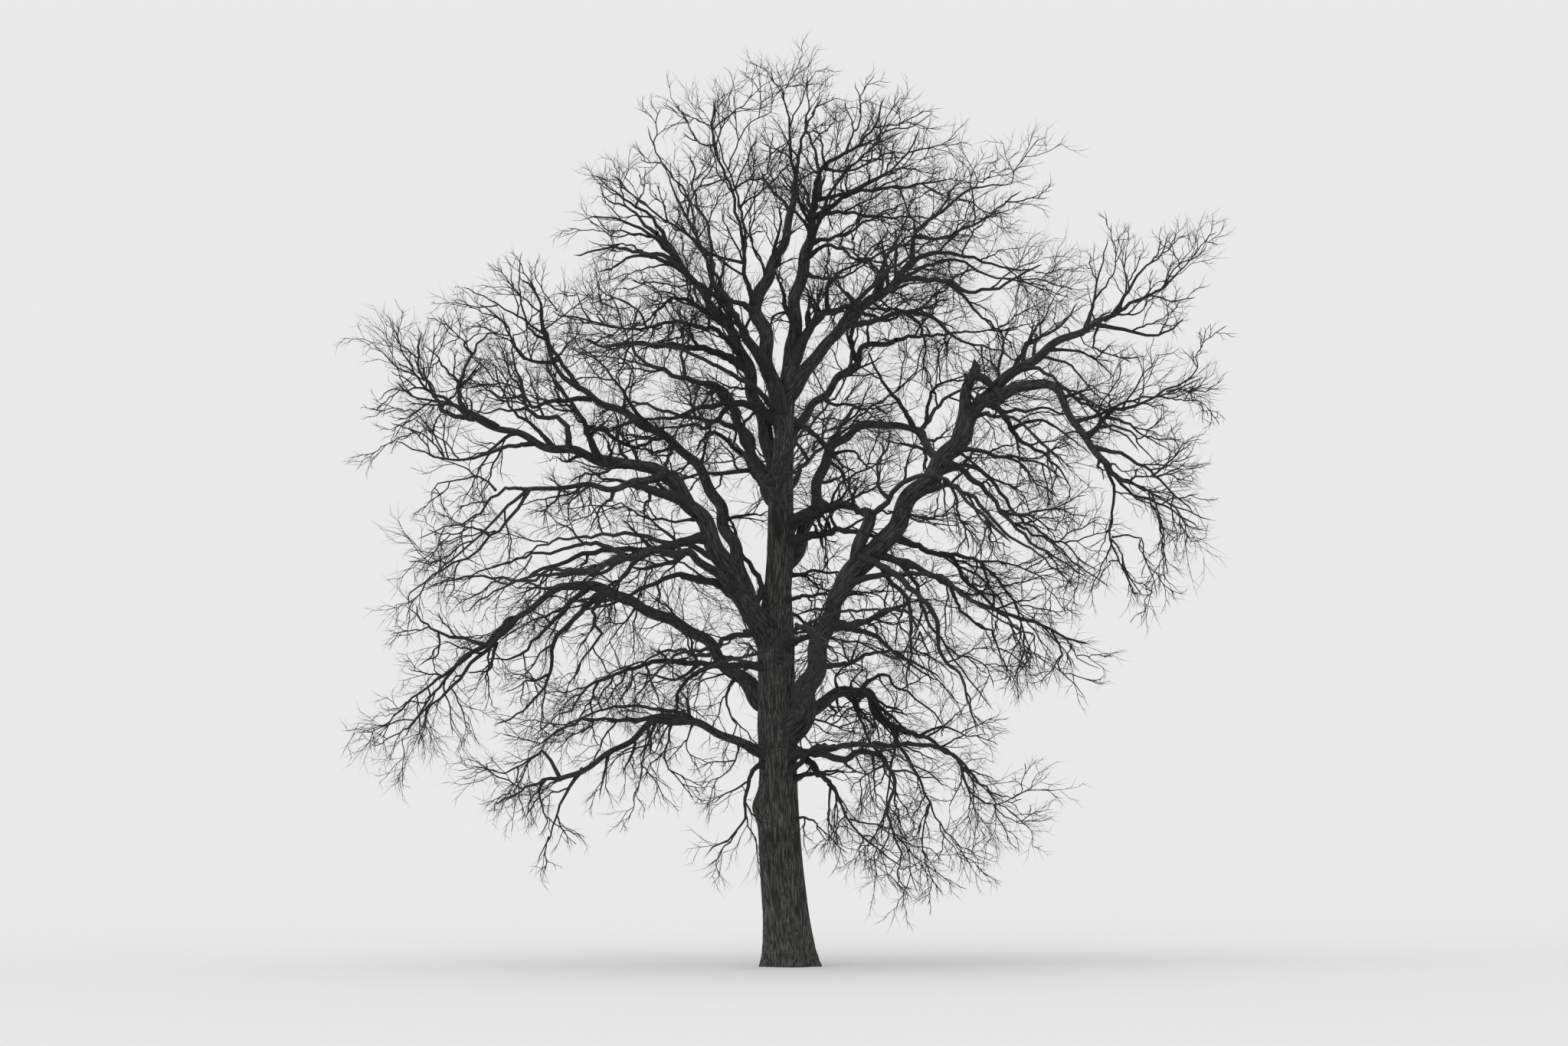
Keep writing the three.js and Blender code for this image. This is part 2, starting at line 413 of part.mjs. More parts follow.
// One twig: it leaves its parent at an angle, turned by the golden angle from the twig before it, then wanders
function growTwig(parent, number, child, order, stem) {
  const rule = ORDERS[order];
  const chance = chances(childNumber(number, child));
  const part = FIRST_TWIG + (1 - FIRST_TWIG) * ((0.5 + child * GOLDEN_PART) % 1);
  const start = placeAlong(parent, part);
  const turn = child * GOLDEN_TURN + span(chance, -0.5, 0.5) + (number % 628) / 100;
  const angle = span(chance, rule.angle[0], rule.angle[1]);
  const { side, other } = sideDirections([new THREE.Vector3(), start.heading])[0];
  const heading = start.heading.clone().multiplyScalar(Math.cos(angle))
    .addScaledVector(side, Math.sin(angle) * Math.cos(turn))
    .addScaledVector(other, Math.sin(angle) * Math.sin(turn));
  const full = order === 1 ? stem.spread * (0.6 + 0.5 * Math.sin(Math.PI * (0.1 + 0.75 * part)))
    : parent.long * rule.reach * (1.15 - 0.5 * part);
  const long = full * span(chance, 0.8, 1.2);
  const way = [start.place];
  for (let i = 0; i < rule.steps; i += 1) {
    heading.x += rule.crook * (2 * chance() - 1);
    heading.y += rule.crook * (2 * chance() - 1);
    heading.z += rule.crook * (2 * chance() - 1) + rule.lift * stem.lift;
    heading.normalize();
    way.push(way[i].clone().addScaledVector(heading, long / rule.steps));
  }
  const radii = way.map((_, i) => TWIG_TO_STEM * start.radius * (1 - i / rule.steps));
  return { way, radii, long, number: childNumber(number, child) };
}

// A twig is skipped where it has no room, or where it would run beside what it grows from
function fits(twig, stem, stems) {
  for (let i = 1; i < twig.way.length; i += 1) {
    for (const within of [0.35, 0.7, 1]) {
      const point = twig.way[i - 1].clone().lerp(twig.way[i], within);
      if (!hasRoom(point, twig.radii[i - 1], stem, stems)) return false;
    }
  }
  return true;
}

function massSolid(stem, stems) {
  const pieces = [solidOf(limbGeometry(stem.way, stem.radii, STEM_SIDES))];
  const grow = (parent, number, order) => {
    if (order >= ORDERS.length) return;
    const { perMetre = 0, count: [fewest, most] } = ORDERS[order];
    const count = Math.min(most, Math.max(fewest, Math.round(perMetre * parent.long)));
    for (let child = 0; child < count; child += 1) {
      const twig = growTwig(parent, number, child, order, stem);
      if (fits(twig, stem, stems)) {
        pieces.push(solidOf(limbGeometry(twig.way, twig.radii, TWIG_SIDES)));
        grow(twig, twig.number, order + 1);
      }
    }
  };
  grow(stem, stem.number, 1);
  return wasm.Manifold.union(pieces);
}

// Materials
const bark = (name, colour) => new THREE.MeshStandardMaterial({ name, color: colour, roughness: 0.95, metalness: 0 });
const trunkBark = bark('furrowed bark', '#3a3a3a');
const boughBark = bark('bough bark', '#353535');
const twigBark = bark('twig bark', '#2c2c2c');

const group = new THREE.Group();
group.name = 'bare_winter_tree';

function addPiece(name, solid, material) {
  const mesh = new THREE.Mesh(geometryOf(largest(solid)), material);
  mesh.name = name;
  group.add(mesh);
}

growTrunk();
const trunk = limbs.get('trunk');
addPiece('trunk', solidOf(trunkGeometry(trunk)), trunkBark);

// What the pieces that come later are cut clear of, each a little larger than the piece itself
const cutters = [solidOf(trunkGeometry(trunk, GAP))];
BOUGHS.forEach((bough, order) => {
  growBough(bough, order);
  const limb = limbs.get(bough.name);
  const solid = cutters.reduce((left, cutter) => left.subtract(cutter),
    solidOf(limbGeometry(limb.way, limb.radii, LIMB_SIDES)));
  addPiece(bough.name, solid, boughBark);
  cutters.push(solidOf(limbGeometry(limb.way, limb.radii, LIMB_SIDES, GAP)));
});

const stems = MASSES.map(growStem);
stems.forEach((stem) => {
  const solid = cutters.reduce((left, cutter) => left.subtract(cutter), massSolid(stem, stems));
  addPiece(stem.name, solid, twigBark);
});

export default group;
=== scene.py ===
import json
import math

import bpy
import numpy as np
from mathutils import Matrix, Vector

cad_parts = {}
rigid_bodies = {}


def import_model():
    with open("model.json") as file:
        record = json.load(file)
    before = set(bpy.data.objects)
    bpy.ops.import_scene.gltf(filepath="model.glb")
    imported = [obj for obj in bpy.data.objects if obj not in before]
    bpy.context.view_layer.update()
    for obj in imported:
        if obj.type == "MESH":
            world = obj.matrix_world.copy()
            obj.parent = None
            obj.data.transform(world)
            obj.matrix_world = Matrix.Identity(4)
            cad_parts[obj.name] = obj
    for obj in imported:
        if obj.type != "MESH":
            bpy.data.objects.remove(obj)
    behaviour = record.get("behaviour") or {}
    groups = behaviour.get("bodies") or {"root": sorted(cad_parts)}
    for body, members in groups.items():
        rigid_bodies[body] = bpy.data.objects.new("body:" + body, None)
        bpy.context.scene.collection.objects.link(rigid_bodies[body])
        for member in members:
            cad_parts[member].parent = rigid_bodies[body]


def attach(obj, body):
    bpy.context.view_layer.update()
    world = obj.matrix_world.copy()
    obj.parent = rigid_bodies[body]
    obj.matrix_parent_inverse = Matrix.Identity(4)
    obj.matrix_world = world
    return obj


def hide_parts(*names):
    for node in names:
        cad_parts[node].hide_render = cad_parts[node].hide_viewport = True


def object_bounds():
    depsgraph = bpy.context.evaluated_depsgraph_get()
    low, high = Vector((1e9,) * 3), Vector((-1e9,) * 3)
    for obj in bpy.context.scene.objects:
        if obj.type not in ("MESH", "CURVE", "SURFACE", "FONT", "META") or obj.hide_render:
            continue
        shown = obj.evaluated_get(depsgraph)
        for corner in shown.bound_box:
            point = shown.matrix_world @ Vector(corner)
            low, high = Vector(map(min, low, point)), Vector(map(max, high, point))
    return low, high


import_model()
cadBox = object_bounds()

# Camera: the photograph's viewing angle, level ground about 3 m below the eye
view = {
    "lens": 85.0,             # mm, on a 36 mm wide frame of 2047 by 1365
    "eye": (-0.126, -81.0, 3.02),
    "pitch": 4.69,            # degrees up
}


def makeCamera(spec):
    data = bpy.data.cameras.new("photo_camera")
    data.lens = spec["lens"]
    data.sensor_width = 36.0
    data.clip_end = 1000.0
    camera = bpy.data.objects.new("photo_camera", data)
    camera.location = spec["eye"]
    camera.rotation_euler = (math.radians(90.0 + spec["pitch"]), 0.0, 0.0)
    bpy.context.scene.collection.objects.link(camera)
    bpy.context.scene.camera = camera


makeCamera(view)
print("camera made")

# The tree's limbs, in metres: the same ways and thicknesses as the solids have
# way: points of across, back and up, as they measure in the trunk's plane, with commas between them;
# along: metres from the parent's foot; full: how full of twigs a limb is beside the rule, otherwise 1
tip = math.inf                          # along: where the parent ends
eye = np.array([-0.13, -81.0, 3.0])     # where the ways are sighted from
seed = 1416

trunkSpec = {
    "way": "0 0 0, -.2 0 2.4, -.25 0 4.4, -.3 .05 6, -.3 .1 7.5, -.2 .1 8.9, -.2 0 10.4, -.1 -.05 11.9, "
           "0 0 13.1",
    "girth": [(0, 0.56), (0.4, 0.53), (1.1, 0.49), (2.2, 0.47), (3, 0.46), (4.2, 0.42), (5.2, 0.44),
              (6.2, 0.4), (7.2, 0.4), (8.2, 0.29), (10, 0.28), (11.2, 0.24), (12.2, 0.19), (13.2, 0.16)],
    "rings": 26, "crowding": 1.25,                      # rings stand closer toward the foot
    "flareOut": 0.12, "flareRise": 0.45, "toes": 5,     # the root flare
    "burlHeight": 3.45, "burlTall": 0.3, "burlOut": 0.14, "burlSide": math.pi,
    "hollowed": 0.012, "leaning": 0.01,                 # metres that the trunk is out of round, in two ways
}

boughSpec = {
    "leader_centre": dict(parent="trunk", along=12.9, thick=(0.32, 0.25, 0.13), piece="crown_top", full=2.9,
        way=".1 .3 14.2, .3 .7 15.5, .5 .9 16.3, .65 1 16.9"),
    "leader_left": dict(parent="trunk", along=11.7, thick=(0.36, 0.26, 0.1), piece="crown_top", full=1.2,
        way="-.5 -.5 13.5, -.7 -.8 14.55, -.3 -.7 15.4, 0 -.4 16.5, .15 -.2 17.3"),
    "upper_left_bough": dict(parent="trunk", along=10.3, thick=(0.35, 0.12), piece="crown_top", full=1.4,
        way="-.8 .6 12.5, -1.3 1.1 13.9, -1.8 1.4 14.6, -2.9 1.8 16.05"),
    "upper_right_bough": dict(parent="trunk", along=12.4, thick=(0.32, 0.14), piece="crown_top", full=2.1,
        way=".7 -.5 13.45, 1.3 -.9 14.15, 2 -1.3 14.75, 2.7 -1.6 15.4"),
    "right_shoulder_bough": dict(parent="trunk", along=11.3, thick=(0.22, 0.11), piece="crown_right",
        way=".55 .8 12.3, 1.05 1.6 12.8, 1.6 2.3 13.45, 2.3 3 13.7"),
    "right_arch_bough": dict(parent="trunk", along=8.5, thick=(0.29, 0.14), piece="crown_right", full=0.24,
        way=".45 .9 9.85, .8 1.8 11.05, 1.35 2.5 11.65, 2.1 3.2 11.85, 2.85 3.8 11.65"),
    "right_big_bough": dict(parent="trunk", along=4.7, thick=(0.52, 0.26), broken=True, piece="low_right",
        full=1.4, way=".25 -.3 5.6, .55 -.8 6.6, .95 -1.3 7.75, 1.4 -1.8 8.8, 1.75 -2.2 9.9"),
    "right_high_bough": dict(parent="right_big_bough", along=4.3, thick=(0.42, 0.37, 0.13),
        piece="crown_right", full=1.7, way="2.15 -1.9 9.4, 2.7 -1.7 10.2, 3.5 -1.5 11.25, 4.2 -1.4 12.35, "
                                           "5.05 -1.5 13.1, 6.9 -1.9 14.15"),
    "broken_stub": dict(parent="right_high_bough", along=3.9, thick=(0.24, 0.2), broken=True,
        piece="crown_right", way="3.95 -1.5 12.55, 4.1 -1.6 13.2"),
    "elbow_bough": dict(parent="right_high_bough", along=5, thick=(0.28, 0.13), piece="crown_right",
        full=0.4, way="5.15 -1.7 12.7, 5.8 -2 12.75, 6.2 -2.4 11.95, 7 -3 10.9"),
    "low_right_bough": dict(parent="trunk", along=5.1, thick=(0.3, 0.15), piece="low_right", full=3.1,
        way=".85 .5 5.8, 1.65 1.3 6, 1.85 1.7 5.5, 2.5 2.3 5.1"),
    "left_low_bough": dict(parent="trunk", along=4.6, thick=(0.22, 0.1), piece="low_left",
        way="-1.3 -.6 4.95, -2.2 -1.2 5.3, -3.05 -1.7 5.2, -4 -2.2 4.6, -5 -2.6 4.05"),
    "left_sweep_inner": dict(parent="trunk", along=5.4, thick=(0.3, 0.22), piece="low_left", full=0.13,
        way="-1.1 .4 6.3, -1.7 .7 6.9, -2.9 1.2 7.65, -4.05 1.6 8.2"),
    "left_sweep_outer": dict(parent="left_sweep_inner", along=tip, thick=(0.21, 0.1), piece="low_left",
        full=0.6, way="-4.85 1.7 8.3, -5.6 1.8 7.9, -6.4 1.8 7.2, -7.25 1.8 6.6"),
    "west_outer_rise": dict(parent="trunk", along=6.8, thick=(0.46, 0.32), piece="crown_left", full=1.8,
        way="-.8 -.5 7.7, -1.3 -.9 8.6, -1.9 -1.3 9.6, -2.5 -1.7 10.55"),
    "west_outer_reach": dict(parent="west_outer_rise", along=tip, thick=(0.3, 0.13), piece="crown_left",
        full=1.3, way="-3.05 -1.9 10.9, -4.05 -2.1 11.05, -5.25 -2.3 11.35, -7.05 -2.5 12"),
    "west_inner_bough": dict(parent="west_outer_rise", along=1.1, thick=(0.34, 0.14), piece="crown_left",
        way="-1.2 0 9.1, -1.6 1 10.15, -2.3 1.8 11.25, -3.4 2.3 11.95, -4.65 2.7 12.65"),
    "left_shelf_bough": dict(parent="west_outer_rise", along=1.7, thick=(0.2, 0.1), piece="crown_left",
        full=0.3, way="-2.2 -2.2 8.95, -3.05 -3.2 9.05, -4.05 -4.3 8.75, -4.9 -5.2 8.55"),
    "left_wand_bough": dict(parent="west_outer_reach", along=0.5, thick=(0.17, 0.09), piece="crown_left",
        full=0.6, way="-3.5 -2.7 10.5, -4.55 -3.4 10.45, -5.75 -4.1 10.4"),
    "left_high_bough": dict(parent="trunk", along=9.9, thick=(0.25, 0.16), piece="crown_left", full=0.5,
        way="-.75 1 11.1, -1.1 1.9 11.9, -1.35 2.8 12.3"),
}

# Masses of twigs, by piece: what carries it and how far along, its stem's thickness at the foot, how far its
# twigs stand off, how they lift (1 rise, -1 hang), how full of twigs it is, and its stem's way
massSpec = {}
massSpec["crown_top"] = {
    "top_centre_twigs": ("leader_centre", tip, 0.11, 1, 1, 1, ".6 1.3 17.6, .4 1.5 18.4, .5 1.6 19"),
    "top_right_twigs": ("leader_centre", 3.3, 0.09, 1.1, 1, 0.6, "1.15 .6 17.4, 1.75 .2 17.9, 2.6 -.2 18.4"),
    "top_left_twigs": ("leader_left", tip, 0.09, 1, 1, 1, ".1 -.3 18, -.1 -.5 18.7, -.2 -.6 19.2"),
    "leader_west_twigs": ("leader_left", 2.8, 0.12, 1.3, 1, 1,
        "-1 -1.3 15.3, -.95 -1.7 16.15, -1.25 -2 17.1, -1.75 -2.5 18.6"),
    "upper_left_twigs": ("upper_left_bough", tip, 0.1, 1.3, 1, 0.4,
        "-3.3 2.1 16.4, -3.8 2.4 16.7, -4.2 2.6 17"),
    "upper_left_front_twigs": ("leader_left", 1.1, 0.13, 1.4, 0.8, 0.4,
        "-1 -1.3 13.8, -1.9 -3.2 15.6, -2.5 -4 16.8, -2.8 -4.6 17.7"),
    "upper_right_twigs": ("upper_right_bough", tip, 0.12, 1.4, 0.8, 1.2,
        "2.95 -2 16.25, 3.8 -2.6 16.9, 5 -3.6 17.2"),
    "upper_right_back_twigs": ("upper_right_bough", 2.6, 0.11, 1.4, 0.4, 0.4,
        "3.2 -.5 15.5, 4.35 .6 15.2, 5.7 2.4 14.9"),
}
massSpec["crown_right"] = {
    "right_shoulder_twigs": ("right_shoulder_bough", tip, 0.1, 1.5, 0.5, 1.4,
        "3.2 4 13.85, 4.1 5 13.8, 5.05 6 14.15"),
    "right_arch_twigs": ("right_arch_bough", tip, 0.12, 1.5, 0.6, 1.3,
        "3.2 4.6 12.3, 4.1 5.1 12.7, 5.2 5.5 12.5"),
    "right_inner_twigs": ("trunk", 9.2, 0.17, 1.4, 0.2, 0.6, ".6 1.6 10, 1.5 3.8 9.95, 3.8 8 9.6"),
    "right_far_twigs": ("right_high_bough", tip, 0.11, 1.3, 0.9, 0.9,
        "7.55 -2.2 14.5, 8.1 -2.5 14.8, 8.6 -2.7 15.2"),
    "elbow_up_twigs": ("elbow_bough", 2.7, 0.09, 1.2, 0.7, 0.6,
        "7.05 -2.8 12.2, 7.9 -3.2 12.4, 9.2 -3.9 12.9"),
    "elbow_out_twigs": ("elbow_bough", tip, 0.095, 1.2, -0.3, 0.8,
        "7.4 -3.2 10.5, 8.1 -3.6 10.3, 9.4 -4.3 9.7"),
    "elbow_drop_twigs": ("elbow_bough", 3.9, 0.08, 1, -1, 0.8, "7.1 -2.4 10, 7.15 -2.1 9.1, 7.8 -2 8"),
}
massSpec["low_right"] = {
    "right_mid_front_twigs": ("right_high_bough", 2.6, 0.15, 1.4, -0.5, 0.8,
        "3.6 -2.4 10.45, 4.75 -4.2 9.5, 6.2 -5.8 8.3"),
    "right_mid_back_twigs": ("right_high_bough", 3.1, 0.15, 1.5, -0.5, 0.15,
        "3.95 -.7 10.9, 5.3 1.4 9.6, 7.05 3.2 8.25"),
    "right_low_front_twigs": ("right_big_bough", 4.2, 0.15, 1.5, -0.6, 0.12,
        "2.7 -2.9 8.6, 3.8 -4.6 8.1, 5.4 -6.4 7.1"),
    "right_low_back_twigs": ("right_high_bough", 0.8, 0.15, 1.4, -0.8, 0.3,
        "2.7 -1.2 8.6, 3.1 -.4 7.4, 4.5 .6 5.5"),
    "low_right_out_twigs": ("low_right_bough", tip, 0.12, 1.4, -0.6, 1, "3.3 3 4.9, 4 3.8 4, 4.9 4.8 3.6"),
    "low_right_drop_twigs": ("low_right_bough", 2.8, 0.1, 1.1, -0.9, 1,
        "2.7 1.9 4.4, 2.95 2.1 3.5, 3.8 2.3 2.5"),
    "low_right_front_twigs": ("trunk", 4.1, 0.14, 1.5, -0.6, 0.15,
        ".6 -1.4 4.7, 1.7 -3.6 4.8, 3.5 -6.6 3.9"),
    "lowest_right_twigs": ("trunk", 3.9, 0.12, 1.1, -0.9, 1.4, ".7 -.6 4.2, 1.2 -1.1 3.2, 2.6 -2.1 2"),
}
massSpec["low_left"] = {
    "left_low_out_twigs": ("left_low_bough", tip, 0.085, 1.2, -0.7, 1,
        "-5.5 -2.9 4, -6 -3.2 3.8, -6.5 -3.5 3.5"),
    "left_low_back_twigs": ("left_low_bough", 2.2, 0.12, 1.4, -0.6, 0.7,
        "-2.8 -.3 5.6, -4.2 1.6 5.5, -5.8 3.4 4.6"),
    "left_sweep_twigs": ("left_sweep_outer", tip, 0.085, 1.3, -0.7, 1.4,
        "-7.6 1.8 6.1, -8.1 1.9 5.5, -8.5 2 4.9"),
    "left_far_back_twigs": ("trunk", 6.1, 0.15, 1.6, -0.4, 0.3, "-1.2 1.6 6.7, -2.8 4.1 6.8, -4.5 6.8 6"),
}
massSpec["crown_left"] = {
    "far_left_twigs": ("west_outer_reach", tip, 0.11, 1.3, 0.5, 1.1,
        "-7.6 -2.6 12.4, -8.2 -2.7 12.9, -8.7 -2.8 13.3"),
    "far_left_low_twigs": ("west_outer_reach", 3.2, 0.1, 1.2, -0.1, 1.3,
        "-6.6 -3 11.2, -7.6 -3.4 11.1, -8.8 -3.8 11.5"),
    "left_upper_twigs": ("west_inner_bough", tip, 0.12, 1.5, 0.8, 0.3,
        "-5.2 2.9 13.35, -5.4 3.1 14.3, -5.8 3.4 15.1"),
    "left_shelf_twigs": ("left_shelf_bough", tip, 0.085, 1.5, -0.3, 0.3,
        "-5.65 -6.1 8.45, -6.4 -6.9 8.15, -7.2 -7.6 7.7"),
    "left_shelf_back_twigs": ("west_inner_bough", 0.9, 0.16, 1.5, -0.2, 0.3,
        "-2.7 .9 9.3, -4.65 3.4 9.3, -6.6 6.2 8.7"),
    "left_wand_twigs": ("left_wand_bough", tip, 0.08, 1.2, -0.6, 0.6,
        "-6.4 -4.5 9.8, -7.25 -5.1 8.9, -8 -5.6 8.3"),
    "left_high_back_twigs": ("left_high_bough", tip, 0.14, 1.6, 0.5, 0.6,
        "-1.95 4 12.75, -2.9 5.5 13.1, -4.4 7.4 13.4"),
}
massSpec["crown_front_back"] = {
    "left_high_front_twigs": ("trunk", 12, 0.15, 1.6, 0.5, 0.4,
        "-1.1 -1.6 12.9, -2.9 -4.6 13.6, -4.8 -7 13.4"),
    "front_high_twigs": ("trunk", 9.4, 0.17, 1.6, 0.4, 0.6, "-.4 -1.8 10.3, -.9 -5 10.9, -1.35 -8.4 11.7"),
    "back_high_twigs": ("trunk", 10, 0.17, 1.6, 0.4, 0.9, ".2 1.8 10.8, .6 5 11.4, 1 8.4 12.2"),
    "front_low_twigs": ("trunk", 6.4, 0.16, 1.6, -0.3, 0.7, ".05 -1.8 7.3, .6 -5 7.4, 1.1 -8 6.6"),
    "back_low_twigs": ("trunk", 5.9, 0.17, 1.6, -0.3, 0.9, "-.5 1.8 7, -1.1 5 7.2, -1.9 8 6.4"),
}

